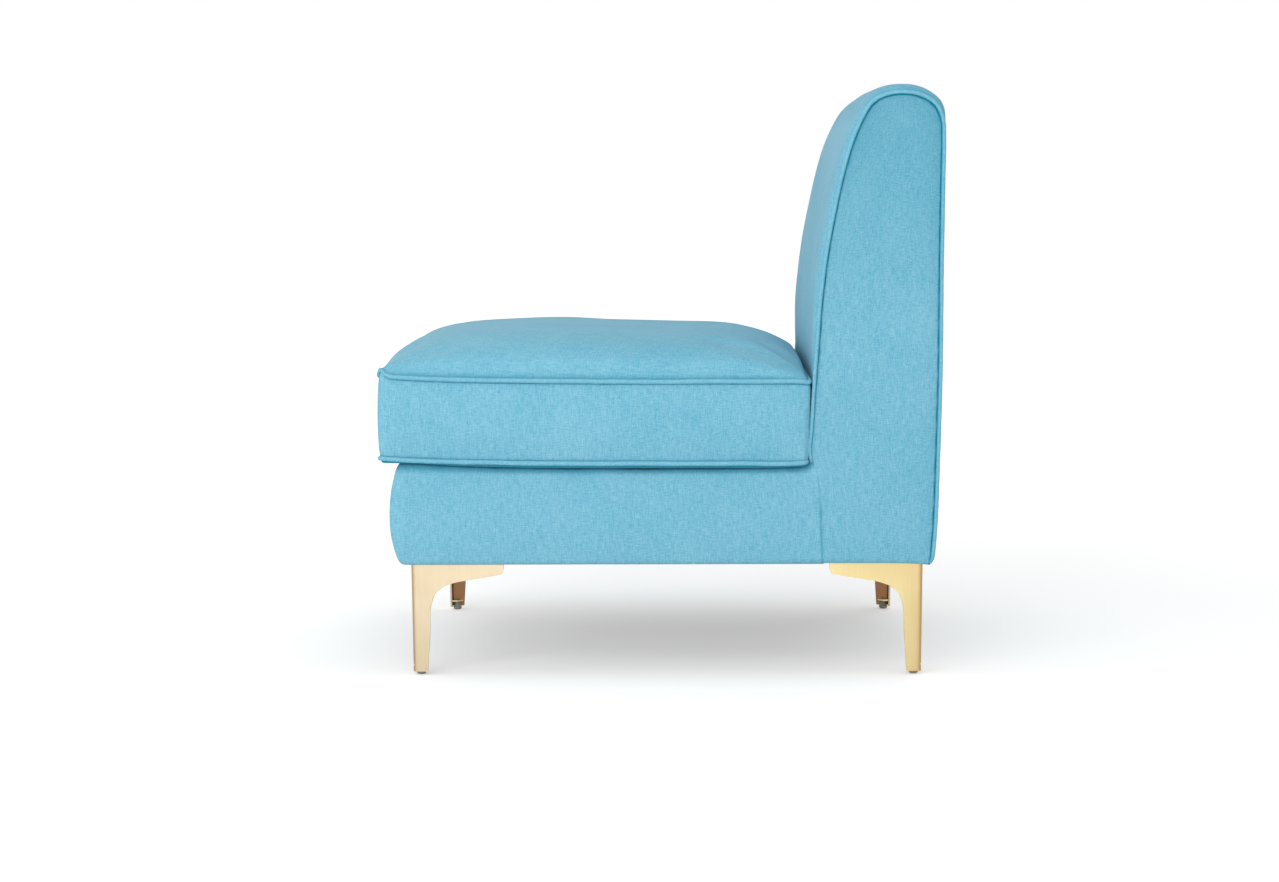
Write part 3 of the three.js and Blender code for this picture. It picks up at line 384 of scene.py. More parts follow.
def cloth(name, points, ring=False, marks_and_shade=0.0, flip=False, thick=FABRIC, smooth=1):
    """A panel of cloth on a grid of points: UV is the distance in metres along the rows and columns, a point
    attribute is the share of the darker colour laid on the weave, painted shade in seams and shaded places of
    the upholstery and real stripes or tack lines on other cloths, and the thickness lies inside the outer face."""
    rows, cols = points.shape[:2]
    faces = grid_faces(rows, cols, ring)
    shown = np.concatenate([points, points[:, :1]], 1) if ring else points
    u, v = run_length(shown)
    corners = quads(np.stack(np.meshgrid(u, v), -1))
    if flip:
        faces, corners = faces[:, ::-1], corners[:, ::-1]
    made = new_mesh(name, points, faces)
    weave_uv(made, corners)
    point_mask(made, "marks_and_shade", np.broadcast_to(marks_and_shade, (rows, cols)))
    if thick:
        wall = made.modifiers.new("thickness", 'SOLIDIFY')
        wall.thickness = thick
        wall.offset = -1
    if smooth:
        finer = made.modifiers.new("smoothing", 'SUBSURF')
        finer.levels = finer.render_levels = smooth
    return made


def fit(made, material, slot, body, *nodes):
    """Gives a piece its material and sets it on its body in place of the CAD nodes it stands for. The slot
    that it is given is not used."""
    made.data.materials.append(material)
    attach(made, body)
    if nodes:
        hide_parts(*nodes)
    return made


def new_group(name, inputs):
    """A node group that gives back a colour and a height, and the sockets that it is given."""
    group = bpy.data.node_groups.new(name, 'ShaderNodeTree')
    sockets = [(key, 'INPUT', kind) for key, kind in inputs.items()]
    for key, way, kind in sockets + [("Colour", 'OUTPUT', 'Color'), ("Height", 'OUTPUT', 'Float')]:
        group.interface.new_socket(key, in_out=way, socket_type='NodeSocket' + kind)
    return group, group.nodes.new('NodeGroupInput').outputs


def end_group(group, *values):
    """Joins the values that a group gives back to its output node."""
    for value, socket in zip(values, group.nodes.new('NodeGroupOutput').inputs):
        group.links.new(value, socket)


def weave_group():
    """Plain weave of fuzzy yarn. Threads run both ways at one pitch and pass over and under in turn; each
    thread's tone drifts along its length, and slow clouds of tone lie over the whole cloth."""
    group, given = new_group("plain_weave", {
        "UV": 'Vector', "Colour": 'Color', "Shade": 'Color', "Pitch": 'Float', "Slub": 'Float',
        "Cloud": 'Float', "Seam": 'Float', "Seam Colour": 'Color'})
    math_node = lambda operation, *values, **more: put(group, 'Math', *values, operation=operation, **more)
    place = given["UV"]
    per_metre = math_node('DIVIDE', math.pi, given["Pitch"])
    threads = put(group, 'VectorMath', place, named={'Scale': per_metre}, operation='SCALE')
    u, v = (put(group, 'SeparateXYZ', threads, out=k) for k in (0, 1))
    side_u, side_v = math_node('SINE', u), math_node('SINE', v)
    round_u, round_v = (math_node('POWER', math_node('ABSOLUTE', s), 0.7) for s in (side_u, side_v))
    over = math_node('GREATER_THAN', math_node('MULTIPLY', side_u, side_v), 0.0)
    height = put(group, 'Mix', named={'Factor': over, 'A': round_v, 'B': round_u})
    tones = []
    for stretch, seed in (((95, 820, 1), 0.0), ((820, 95, 1), 7.3)):
        streak = put(group, 'VectorMath', place, stretch, operation='MULTIPLY')
        streak = put(group, 'VectorMath', streak, (seed, seed, seed), operation='ADD')
        tones.append(put(group, 'TexNoise', streak, named={'Scale': 1.0, 'Detail': 2.0, 'Roughness': 0.6}))
    streaks = math_node('SUBTRACT', math_node('ADD', *tones), 1.0)
    fuzz = put(group, 'TexNoise', place, named={'Scale': 620.0, 'Detail': 2.0, 'Roughness': 0.6})
    cloud = put(group, 'TexNoise', place, named={
        'Scale': 9.0, 'Detail': 3.0, 'Roughness': 0.55, 'Distortion': 0.6})
    tone = math_node('MULTIPLY_ADD', streaks, given["Slub"], 0.5)
    tone = math_node('ADD', tone, math_node('MULTIPLY', math_node('SUBTRACT', cloud, 0.5), given["Cloud"]))
    tone = math_node('ADD', tone, math_node('MULTIPLY', math_node('SUBTRACT', fuzz, 0.5), 1.6))
    # painted shade: a thread is darker where it dips under the crossing thread
    tone = math_node('MULTIPLY_ADD', math_node('SUBTRACT', height, 0.7), 0.35, tone, use_clamp=True)
    yarn = mix(group, tone, given["Shade"], given["Colour"])
    rough = math_node('ADD', height, math_node('MULTIPLY', fuzz, 0.8))
    # the point mask lays its colour over the yarn: painted shade on the upholstery, real stripes or tack lines on
    # some other cloths
    end_group(group, mix(group, given["Seam"], yarn, given["Seam Colour"]), rough)
    return group


plain_weave = weave_group()


def woven(name, colour, shade, marks_and_shade_colour, pitch=0.0011, slub=1.5, cloud=0.5, bump=0.0003, painted_sheen=None, **shader):
    """A woven material whose threads follow the piece's own UV map, in metres. The painted sheen is a greyer
    tone, with its greatest share, laid on the colour where the cloth is seen edge on, and kept off the painted
    shade and marks."""
    made, tree = blank(name)
    marks_and_shade_mask = put(tree, 'Attribute', attribute_name="marks_and_shade", out='Fac')
    shown = put(tree, 'Group', out="Colour", node_tree=plain_weave, named={
        "UV": put(tree, 'UVMap', uv_map="weave"), "Seam": marks_and_shade_mask, "Colour": (*colour, 1), "Shade": (*shade, 1),
        "Seam Colour": (*marks_and_shade_colour, 1), "Pitch": pitch, "Slub": slub, "Cloud": cloud})
    height = shown.node.outputs["Height"]
    normal = put(tree, 'Bump', named={'Height': height, 'Distance': bump, 'Strength': 0.7})
    if painted_sheen:
        tone, share = painted_sheen
        # painted sheen: a greyer colour where the face turns edge on to the eye
        edge_on = put(tree, 'MapRange', put(tree, 'LayerWeight', 0.25, out='Facing'), 0.3, 0.85, 0, share)
        clear_of_marks_and_shade = put(tree, 'Math', 1, marks_and_shade_mask, operation='SUBTRACT', use_clamp=True)
        shown = mix(tree, put(tree, 'Math', edge_on, clear_of_marks_and_shade, operation='MULTIPLY'), shown, (*tone, 1))
    surface(tree, {'Base Color': shown, 'Normal': normal, **shader})
    return made


# the upholstery's dark teal laid on by the point mask is painted shade: in seams, beside welts and where parts lie
# in shadow
CLOTH_COLOUR, CLOTH_SHADE, PAINTED_SHADE_COLOUR = (0.303, 0.617, 0.748), (0.108, 0.420, 0.585), (0.000, 0.235, 0.360)
PILE = {'Roughness': 0.92, 'Specular IOR Level': 0.05, 'Sheen Weight': 0.04, 'Sheen Roughness': 0.5,
        'Sheen Tint': (0.62, 0.80, 0.86, 1)}
PAINTED_SHEEN_TONE = ((0.44, 0.63, 0.73), 0.40)
chenille = woven("chenille", CLOTH_COLOUR, CLOTH_SHADE, PAINTED_SHADE_COLOUR, painted_sheen=PAINTED_SHEEN_TONE, **PILE)

edge_away = np.hypot(edge_in, top[..., 2] - top_seam_height(plan_x, plan_y))
beside = np.where(HALF_WIDE - np.abs(flat_x) < HALF_DEEP - np.abs(flat_y), flat_y, flat_x)
pucker = 0.0007 * np.exp(-edge_away / 0.011) * (1 - np.exp(-edge_away / 0.004)) * waves(beside, beside, 0.026, 3)
top[..., 2] += pucker + 0.0012 * waves(flat_x, flat_y, 0.17, 5) * np.clip(edge_away / 0.04, 0, 1)
# painted shade: the top a little darker all over, a dark line at its seam under the welt, and darker towards its
# rear edge beside the back
behind = 0.25 * np.exp(-(HALF_DEEP - flat_y) / 0.010)
top_painted_shade = np.clip(0.05 + 0.45 * np.exp(-(edge_away / 0.0034) ** 4) + behind, 0, 1)
top_panel = cloth("top_panel_cloth", top, marks_and_shade=top_painted_shade)
fit(top_panel, chenille, "upholstery", "cushion", "cushion_top_panel")

seam_away = np.minimum(from_low, from_high)
walk = np.concatenate([[0], np.cumsum(np.hypot(np.diff(rim_x), np.diff(rim_y)))])
pucker = 0.0009 * np.exp(-seam_away / 0.012) * (1 - np.exp(-seam_away / 0.004)) * waves(walk, walk, 0.028, 11)
uneven = 0.0009 * waves(walk[None] + 0 * height_share, from_low, 0.16, 12) * np.clip(seam_away / 0.03, 0, 1)
boxing[..., :2] += rim_out * ((pucker + uneven) * free_side)[..., None]
# painted shade: dark lines along the boxing just under the top welt and just above the bottom welt
boxing_painted_shade = np.exp(-(from_high / 0.0043) ** 6) + 0.5 * np.exp(-(from_low / 0.0045) ** 6) + 0 * walk[None]
boxing_strip = cloth("boxing_cloth", boxing, ring=True, marks_and_shade=boxing_painted_shade)
fit(boxing_strip, chenille, "upholstery", "cushion", "cushion_boxing")

# painted shade: the bottom panel darker all over, as it lies in shadow on the deck, and darker still at its rim
# under the welt
bottom_painted_shade = 0.60 + 0.35 * np.exp(-(edge_in / 0.003) ** 2)
bottom_panel = cloth("bottom_panel_cloth", bottom, flip=True, marks_and_shade=bottom_painted_shade)
fit(bottom_panel, chenille, "upholstery", "cushion", "cushion_bottom_panel")


# --- Welts of the cushion ----------------------------------------------------------------------------
# Piping of the same chenille cut on the bias round a cord, sewn into the upper and lower seams, with its
# short gathers.
WELT_RADIUS = 0.00325
BIAS = np.array([[0.707, 0.707], [-0.707, 0.707]])  # threads at 45 degrees to the cord


def piping(name, path, side, upright, radius=WELT_RADIUS, around=14, ring=False, seed=1):
    """A cord: round every point of its path, a circle in the plane of two directions. Its radius gathers a
    little along its length, its ends close to a point, and painted shade darkens the side that faces into the seam."""
    run = run_along(path)
    turn = np.linspace(0, 2 * np.pi, around, endpoint=False)[:, None]
    size = radius * (1 + 0.035 * waves(run, run, 0.013, seed) + 0.03 * waves(run, run, 0.045, seed + 1))
    if not ring:
        size = size * np.sqrt(np.clip(np.minimum(run, run[-1] - run) / radius, 0.02, 1))
    about = np.cos(turn)[..., None] * side[None] + np.sin(turn)[..., None] * upright[None]
    tube = path[None] + size[None, :, None] * about
    index = np.arange(around * len(path)).reshape(around, -1)
    wrapped = np.concatenate([index, index[:1]])
    wide, ends = run, [index[::-1, 0], index[:, -1]]
    if ring:
        wrapped = np.concatenate([wrapped, wrapped[:, :1]], 1)
        wide, ends = np.concatenate([run, [run[-1] + np.linalg.norm(path[0] - path[-1])]]), []
    made = new_mesh(name, tube, [*quads(wrapped), *ends])
    v = np.linspace(0, 2 * np.pi * radius, around + 1)
    corners = quads(np.stack(np.meshgrid(wide, v), -1) @ BIAS)
    weave_uv(made, np.concatenate([corners.reshape(-1), np.zeros(2 * around * len(ends))]))
    # painted shade on the side of the cord that turns into the seam's crevice
    point_mask(made, "marks_and_shade", np.clip(-np.cos(turn) - 0.35, 0, 1) * 1.4 + 0 * run[None])
    return made


bias_chenille = woven("bias_chenille", (0.275, 0.600, 0.735), (0.130, 0.440, 0.600), PAINTED_SHADE_COLOUR, **PILE)
rim_run = np.concatenate([walk, [walk[-1] + np.hypot(rim_x[0] - rim_x[-1], rim_y[0] - rim_y[-1])]])
even = np.linspace(0, rim_run[-1], 620, endpoint=False)


def round_rim(values):
    """Values that belong to the rim's points, read at even distances round it."""
    return np.interp(even, rim_run, np.concatenate([values, values[:1]]))


welt_plan = np.stack([round_rim(rim_x), round_rim(rim_y)], -1)
welt_side = np.stack([round_rim(rim_out[:, 0]), round_rim(rim_out[:, 1]), 0 * even], -1)
welt_side /= np.linalg.norm(welt_side, axis=1, keepdims=True)
WELTS = [  # name, node, seam's height, stand off the seam, less of it in front, lean forward behind, seed
    ("top_piping", "cushion_top_welt", top_seam_height, 0.0008, 0.0014, 0.0, 21),
    ("bottom_piping", "cushion_bottom_welt", bottom_seam_height, 0.0002, 0.0, REAR_LEAN, 31)]
for name, node, height, out, front_in, lean, seed in WELTS:
    z = height(welt_plan[:, 0], welt_plan[:, 1]) + 0.0005 * waves(even, even, 0.11, seed)
    out = out - front_in * np.clip(-welt_side[:, 1:2], 0, 1)
    path = np.stack([welt_plan[:, 0], CUSHION_MID + welt_plan[:, 1], z], -1) + out * welt_side
    path[:, 1] -= lean * np.clip(welt_side[:, 1], 0, 1)
    made = piping(name, path, welt_side, np.array([[0, 0, 1.0]]) + 0 * path, ring=True, seed=seed)
    fit(made, bias_chenille, "welt", "cushion", node)


# --- Foam core of the cushion ------------------------------------------------------------------------
# Cut polyurethane foam that fills the cover. It follows the inside of the three panels at 3 mm.
CORE_INSET, CORE_REAR_INSET = 0.003, 0.0038


def shell_faces(rows, cols):
    """Faces of a closed solid between two grids of points that are numbered one after the other."""
    count, border = rows * cols, border_of(rows, cols)
    after = np.roll(border, -1)
    side = np.stack([border, border + count, after + count, after], -1)
    return np.concatenate([grid_faces(rows, cols), grid_faces(rows, cols, start=count)[:, ::-1], side])


def block_of(name, outer, inner, sharp=None):
    """A closed solid between two grids of points whose borders face each other."""
    points = np.concatenate([outer.reshape(-1, 3), inner.reshape(-1, 3)])
    return new_mesh(name, points, shell_faces(*outer.shape[:2]), sharp)


def foam_material(name, colour, cells=900.0, bump=0.0004):
    """Open-cell foam: fine pits of a cell pattern in the bump, darker in the tone as painted shade in the pits,
    yellowed in slow patches.
    """
    made, tree = blank(name)
    place = put(tree, 'TexCoord', out='Object')
    pits = put(tree, 'TexVoronoi', place, named={'Scale': cells})
    patches = put(tree, 'TexNoise', place, named={'Scale': 14.0, 'Detail': 2.0})
    tone = put(tree, 'Math', put(tree, 'Math', pits, 0.35, operation='MULTIPLY'), patches, operation='ADD')
    ramp = two_tone(tree, tone, [c * 0.82 for c in colour], colour, (0.35, 0.85))
    normal = put(tree, 'Bump', named={'Height': pits, 'Distance': bump, 'Strength': 0.8})
    surface(tree, {'Base Color': ramp, 'Normal': normal, 'Roughness': 0.95, 'Specular IOR Level': 0.2})
    return made


cream_foam = foam_material("cream_foam", (0.86, 0.80, 0.64))
shrink = 1 - CORE_INSET / np.array([HALF_WIDE, HALF_DEEP])
core_x, core_y = plan_x * shrink[0], plan_y * shrink[1] - CORE_REAR_INSET * np.clip(plan_y / HALF_DEEP, 0, 1)
core_top = np.stack([core_x, CUSHION_MID + core_y, top[..., 2] - CORE_INSET * (0.5 + 1.5 * edge_share ** 8)], -1)
core_low = np.stack([core_x, CUSHION_MID + core_y, bottom_z + CORE_INSET * (0.7 + 1.3 * edge_share ** 8)], -1)
core = block_of("cushion_foam", core_top, core_low)
fit(core, cream_foam, "foam", "cushion", "cushion_core")


# --- Zip of the cushion ------------------------------------------------------------------------------
# A closed coil zip sewn into the rear boxing: a woven tape with two rows of small nylon coils that mesh
# along its middle. The slider is the CAD node.
TOOTH_PITCH, TAPE_THICK = 0.0023, 0.0006
zip_low, zip_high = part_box("zip_chain")
tape_x, tape_z = np.meshgrid(np.linspace(zip_low.x, zip_high.x, 120), np.linspace(zip_low.z, zip_high.z, 9))
tape_shade = np.abs((tape_z - zip_low.z) / (zip_high.z - zip_low.z) - 0.5) * 0.6
tape = cloth("zip_tape", np.stack([tape_x, 0 * tape_x + zip_low.y + TAPE_THICK, tape_z], -1), flip=True,
             thick=TAPE_THICK, marks_and_shade=tape_shade, smooth=0)
tooth_x = np.arange(zip_low.x + 0.004, zip_high.x - 0.004, TOOTH_PITCH)
turn = np.linspace(0, 2 * np.pi, 6, endpoint=False)
loop = np.linspace(-1, 1, 4)
teeth, teeth_faces = [], []
for side in (-1, 1):
    # one coil turn: a bent thread with a hexagonal section, repeated along the tape
    centre = np.stack([0 * loop + side * TOOTH_PITCH / 4, TAPE_THICK + 0.0006 * (1 - loop ** 2),
                       side * 0.0016 * (loop * 0.5 + 0.42)], -1)
    ring = 0.00042 * np.stack([np.cos(turn), 0.6 * np.sin(turn), 0.5 * np.sin(turn)], -1)
    coil = (centre[:, None] + ring[None]).reshape(-1, 3)
    at = np.stack([tooth_x, 0 * tooth_x + zip_low.y, 0 * tooth_x + (zip_low.z + zip_high.z) / 2], -1)
    start = sum(len(t) for t in teeth) + np.arange(len(tooth_x)) * len(coil)
    faces = grid_faces(len(loop), len(turn), ring=True)
    teeth.append((at[:, None] + coil[None]).reshape(-1, 3))
    teeth_faces.append((start[:, None, None] + faces[None]).reshape(-1, 4))
coils = new_mesh("zip_coils", np.concatenate(teeth), np.concatenate(teeth_faces))
zip_cloth = woven("zip_cloth", (0.17, 0.47, 0.60), (0.08, 0.33, 0.45), PAINTED_SHADE_COLOUR, pitch=0.0006, bump=0.0001,
                  **{'Roughness': 0.8})
nylon, tree = blank("zip_nylon")
mottle = put(tree, 'TexNoise', put(tree, 'TexCoord', out='Object'), named={'Scale': 300.0, 'Detail': 2.0})
surface(tree, {'Base Color': two_tone(tree, mottle, (0.12, 0.38, 0.5), (0.2, 0.5, 0.62)), 'Roughness': 0.35})
fit(tape, zip_cloth, "zip", "cushion", "zip_chain")
fit(coils, nylon, "zip", "cushion")


# --- Seat base ---------------------------------------------------------------------------------------
# One padded band of chenille wrapped round the front and both sides of the timber base, over wadding. It
# rolls over the front edge onto the deck, turns under the rails, and meets the side panels in plain seams.
FRAME_HALF, FRAME_FRONT = 0.310, 0.364
frame_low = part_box("front_rail")[0].z
deck_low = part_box("deck_cover")[1].z
SIDE_HEIGHT, BACK_DEPTH, SEAM_REAR = 0.6519, 0.1795, 0.3885
LOWER_SEAM, HANG = [(0.91, 0), (0.933, 0.1407), (0.966, 0.1975), (1, 0.2435)], 0.0011
# outside of the band, in mm: out at the side, out at the front, height over the frame's underside
BAND = np.array([
    (-12, -12, -0.2), (-6, -6, -0.4), (-1.5, -1.5, -1.0), (1.6, 1.8, -1.2), (3.4, 4.6, 0.4), (4.2, 6.8, 3.4),
    (5.0, 9.1, 8.3), (6.0, 12.2, 18), (7.0, 15.2, 29), (7.7, 17.6, 42), (8.0, 18.6, 58), (8.0, 18.4, 75),
    (7.7, 17.0, 91), (7.0, 14.6, 107), (6.0, 11.6, 119), (4.4, 8.2, 127.5), (1.2, 3.6, 131.4), (-4, -3, 132.5),
    (-9, -8, 132.2),
    (-14, -12, 131.2), (-19, -15, 130.6)]) / 1000


def smooth_line(points, count):
    """A curve through the points, read at even distances. Between two points it is a cubic whose slope at
    each of them is the chord between that point's neighbours over the length run between these."""
    points = np.asarray(points, float)
    run = run_along(points)
    slope = np.gradient(points, run, axis=0)
    share = np.linspace(0, 1, 17)[None, :, None]
    a, b = points[:-1, None], points[1:, None]
    step = np.diff(run)[:, None, None]
    fine = ((1 + 2 * share) * (1 - share) ** 2 * a + share * (1 - share) ** 2 * step * slope[:-1, None]
            + share ** 2 * (3 - 2 * share) * b + share ** 2 * (share - 1) * step * slope[1:, None])
    fine = np.concatenate([fine[:, :-1].reshape(-1, points.shape[1]), points[-1:]])
    length = run_along(fine)
    even = np.linspace(0, length[-1], count) if np.isscalar(count) else np.asarray(count) * length[-1]
    return np.stack([np.interp(even, length, fine[:, k]) for k in range(points.shape[1])], -1)


def panel_point(forward, up):
    """A point of the side panel's drawing, given as shares of the back's depth from the rear and of the
    panel's height from the frame's underside."""
    return datum + SEAM_REAR - np.asarray(forward) * BACK_DEPTH, frame_low + np.asarray(up) * SIDE_HEIGHT


def panel_face(z):
    """How far the side panel stands out at a height: rolled in at the underside, then nearly upright."""
    over = np.clip((z - frame_low + HANG) / 0.010, 0, 1)
    return FRAME_HALF + 0.0084 * np.sqrt(1 - (1 - over) ** 2)


def seam_showing(z):
    """How much of the plain seam between base and side panel shows: all of it low down, none from 90 mm up."""
    return 1 / (1 + np.exp((z - frame_low - 0.088) / 0.005))


seam_y, seam_z = panel_point(*np.array(LOWER_SEAM).T)
band = smooth_line(BAND, 40)
out_side, out_front, band_up = band.T
band_z = frame_low + band_up * (deck_low - frame_low) / 0.1336
SOFT_CORNER = 0.006
side_share = 1 - graded(1, [0, 0.003, 0.008, 0.016, 0.03], 0.017)[::-1]
SEAM_UNDER = 0.0014
corner_turn = np.linspace(0, np.pi / 2, 11)[1:-1]
front_share = np.linspace(0, 1, 34)
round_side, round_front = (np.maximum(out, -0.002) + SOFT_CORNER for out in (out_side, out_front))
fold_x, fold_y = FRAME_HALF + out_side - round_side, datum - FRAME_FRONT - out_front + round_front
rear_y = np.interp(band_z, seam_z, seam_y)[:, None] + SEAM_UNDER
from_rear = side_share[None] * (rear_y - fold_y[:, None])
side_run = np.stack([fold_x[:, None] + round_side[:, None] + 0 * from_rear, rear_y - from_rear,
                     band_z[:, None] + 0 * from_rear], -1)
corner_run = np.stack([fold_x[:, None] + round_side[:, None] * np.cos(corner_turn),
                       fold_y[:, None] - round_front[:, None] * np.sin(corner_turn),
                       band_z[:, None] + 0 * corner_turn], -1)
front_run = np.stack([fold_x[:, None] * (1 - front_share), (fold_y - round_front)[:, None] + 0 * front_share,
                      band_z[:, None] + 0 * front_share], -1)
# near the side panel the band's face takes the panel's own, below its rounded top
on_top = np.clip((band_up - 0.119) / 0.012, 0, 1)[:, None]
near_panel = np.exp(-(from_rear / 0.045) ** 2)[..., None] * np.array([1.0, 0, 0])
panel_x = np.where(band_up < 0.0, side_run[:, 0, 0], panel_face(band_z))[:, None, None] * np.array([1.0, 0, 0])
side_run = side_run * (1 - near_panel * (1 - on_top[..., None])) + panel_x * near_panel * (1 - on_top[..., None])
side_run[..., 0] -= 0.0004 + 0.0008 * np.exp(-(from_rear / 0.0030) ** 2) * seam_showing(side_run[..., 2])
half_band = np.concatenate([side_run, corner_run, front_run], 1)
half_band[..., 2] += on_top * (edge_height(half_band[..., 1]) - deck_low + EDGE_DROP)
behind_corner = np.clip(rear_y - half_band[..., 1], 0, 1) / 0.008
half_band[..., 2] += on_top * 0.0150 * np.exp(-behind_corner ** 2) * (half_band[..., 0] > 0.29)
other_half = half_band[:, -2::-1] * np.array([-1.0, 1, 1])
base = np.concatenate([half_band, other_half], 1)
base_run = run_length(base)[0]
from_seam = np.minimum(base_run, base_run[-1] - base_run)[None]
base_u, base_v = base_run[None] + 0 * band_up[:, None], band_up[:, None]
uneven = 0.0010 * waves(base_u, base_v, 0.14, 41)
uneven = uneven + 0.0004 * waves(base_u, base_v * 0.3, 0.035, 42) * np.exp(-((base_v - 0.134) / 0.03) ** 2)
hold = np.clip(band_up[:, None] / 0.02, 0, 1) * np.clip(from_seam / 0.03, 0, 1)
outward = np.cross(np.gradient(base, axis=1), np.gradient(base, axis=0))
outward /= np.linalg.norm(outward, axis=-1, keepdims=True)
outward *= np.sign((outward[..., 0] * base[..., 0] + outward[..., 1] * base[..., 1]).mean())
base = base + outward * (uneven * hold)[..., None]
# painted shade: a dark line along the plain seam low down, and the top rows darker where the band rolls under the
# cushion
base_painted_shade = 0.5 * np.exp(-((from_seam - SEAM_UNDER) / 0.0012) ** 2) * seam_showing(base[..., 2])
base_painted_shade = base_painted_shade + 0.60 * np.clip((band_up[:, None] - 0.125) / 0.004, 0, 1)
base_cloth = cloth("base_cloth", base, marks_and_shade=np.clip(base_painted_shade, 0, 1))
fit(base_cloth, chenille, "upholstery", "chair", "base_cover")


# --- Side panels -------------------------------------------------------------------------------------
# A flat panel of chenille on each side, over wadding on the plywood. It runs from the underside up to the
# rounded top, its welted seam drawn once as shares of the back's depth and the panel's height.
SEAM = [
    (1, 0.2435), (0.989, 0.2773), (0.964, 0.3862), (0.945, 0.458), (0.935, 0.4965), (0.927, 0.5335),
    (0.902, 0.601), (0.877, 0.6547), (0.843, 0.71), (0.81, 0.756), (0.765, 0.8143), (0.714, 0.868),
    (0.669, 0.9064), (0.597, 0.9509), (0.543, 0.9755), (0.485, 0.9885), (0.409, 0.9966), (0.3, 1),
    (0.193, 0.9962), (0.118, 0.9877), (0.059, 0.9755), (0.028, 0.9616), (0.006, 0.9417), (0, 0.9049),
    (0.004, 0.822), (0.011, 0.6547), (0.017, 0.3939), (0.032, 0.222), (0.058, 0.0502), (0.0755, 0)]
PANEL_FACE, PANEL_PILLOW = 0.3176, 0.0012
seam_line = np.stack(panel_point(*np.array(SEAM).T), -1)
TOP_FROM, TOP_TO = 14, 19  # the points of the seam between which the panel's upper side lies
lower_line = np.stack([seam_y, seam_z], -1)[:-1]
whole_front = smooth_line(np.concatenate([lower_line, seam_line[:TOP_FROM + 1]]), 400)
top_arc = smooth_line(seam_line[13:21], 200)
whole_rear = smooth_line(seam_line[TOP_TO:][::-1], 400)


def arc_from(line, start, end, shares):
    """The stretch of a line between its points nearest to two others, read at shares of its length."""
    first, last = (np.argmin(np.linalg.norm(line - p, axis=1)) for p in (start, end))
    return smooth_line(line[first:last + 1], shares)


up_share = graded(1, [0, 0.002, 0.006, 0.012, 0.02], 0.011)
over_share = graded(1, [0, 0.008, 0.02, 0.04, 0.075], 0.045)
front_side = smooth_line(whole_front, up_share)
rear_side = smooth_line(whole_rear, up_share)
top_side = arc_from(top_arc, seam_line[TOP_FROM], seam_line[TOP_TO], over_share)
low_side = front_side[0] + over_share[:, None] * (rear_side[0] - front_side[0])
u, v = over_share[None, :, None], up_share[:, None, None]
panel = ((1 - u) * front_side[:, None] + u * rear_side[:, None] + (1 - v) * low_side[None] + v * top_side[None]
         - (1 - u) * (1 - v) * low_side[0] - u * (1 - v) * low_side[-1]
         - (1 - u) * v * top_side[0] - u * v * top_side[-1])
upper_edge = arc_from(top_arc, seam_line[TOP_FROM], seam_line[TOP_TO], 150)
sewn_edge = np.concatenate([whole_front, upper_edge, whole_rear[::-1]])
gaps = np.linalg.norm(panel[:, :, None] - sewn_edge[None, None, ::2], axis=-1)
edge_gap, nearest = gaps.min(-1), gaps.argmin(-1) * 0.0036
plain_edge = np.clip((seam_line[0, 1] - panel[..., 1]) / 0.01, 0, 1) * (panel[..., 0] < seam_line[0, 0] + 0.05)
plain_edge = plain_edge * (1 - 0.55 * seam_showing(panel[..., 1]))
beside_seat = (panel[..., 0] < seam_line[0, 0] + 0.05) / (1 + np.exp((panel[..., 1] - 0.415) / 0.018))
groove = (0.0003 - 0.0014 * beside_seat) * np.exp(-(edge_gap / 0.0045) ** 2) * (1 - plain_edge)
rear_dip = np.exp(-np.clip(rear_side[0, 0] - panel[..., 0], 0, 1) / 0.020)
rear_dip = rear_dip * np.exp(-(panel[..., 1] - frame_low) / 0.030)
pillow = PANEL_PILLOW * (1 - (1 - plain_edge) * np.exp(-edge_gap / 0.012))
panel_x = np.minimum(PANEL_FACE + pillow, panel_face(panel[..., 1]) + 0.0001)
panel_x = panel_x - groove + 0.0006 * waves(panel[..., 0], panel[..., 1], 0.15, 51) * np.clip(edge_gap / 0.03, 0, 1)
gather = 0.0004 * np.exp(-edge_gap / 0.010) * waves(nearest, nearest, 0.030, 52)
panel_x = panel_x + gather * (1 - np.exp(-edge_gap / 0.004))
# painted shade: a dark line along the welted seam, a darker band beside the rear welt, a slight darkening all over,
# and more towards the panel's top
side_painted_shade = np.exp(-(edge_gap / 0.0020) ** 4) * (1 - plain_edge) * (1 - 0.7 * beside_seat)
rear_gap = np.abs(panel[..., 0] - rear_side[:, None, 0])
high_up = np.clip((panel[..., 1] - 0.50) / 0.27, 0, 1)
side_painted_shade = np.clip(side_painted_shade + 0.13 * np.exp(-rear_gap / 0.016) + 0.02 + 0.24 * high_up, 0, 1)
for side, sign in (("left", 1), ("right", -1)):
    hang = HANG * np.exp(-(panel[..., 1] - frame_low) / 0.012) + 0.0030 * rear_dip
    points = np.stack([sign * panel_x, panel[..., 0], panel[..., 1] - hang], -1)
    under = points[:1] + np.array([-sign * 0.012, 0, 0.0010])
    points = np.concatenate([under, points])
    side_painted_shade_rows = np.concatenate([0 * side_painted_shade[:1], side_painted_shade])
    made = cloth(f"{side}_side_cloth", points, marks_and_shade=side_painted_shade_rows, flip=sign < 0)
    fit(made, chenille, "upholstery", "chair", f"{side}_side_cover")


# --- Welts of the side panels ------------------------------------------------------------------------
# Piping sewn round each side panel from the seat up over the top and down to the underside, where its end
# is turned under the frame.
BACK_WELT_X, BACK_WELT_OUT, BACK_WELT_RADIUS = 0.3180, 0.0025, 0.0030


def line_out(line):
    """Unit normals of a line in its plane, on the left of its direction."""
    step = np.gradient(line, axis=0)
    return np.stack([-step[:, 1], step[:, 0]], -1) / np.linalg.norm(step, axis=1, keepdims=True)


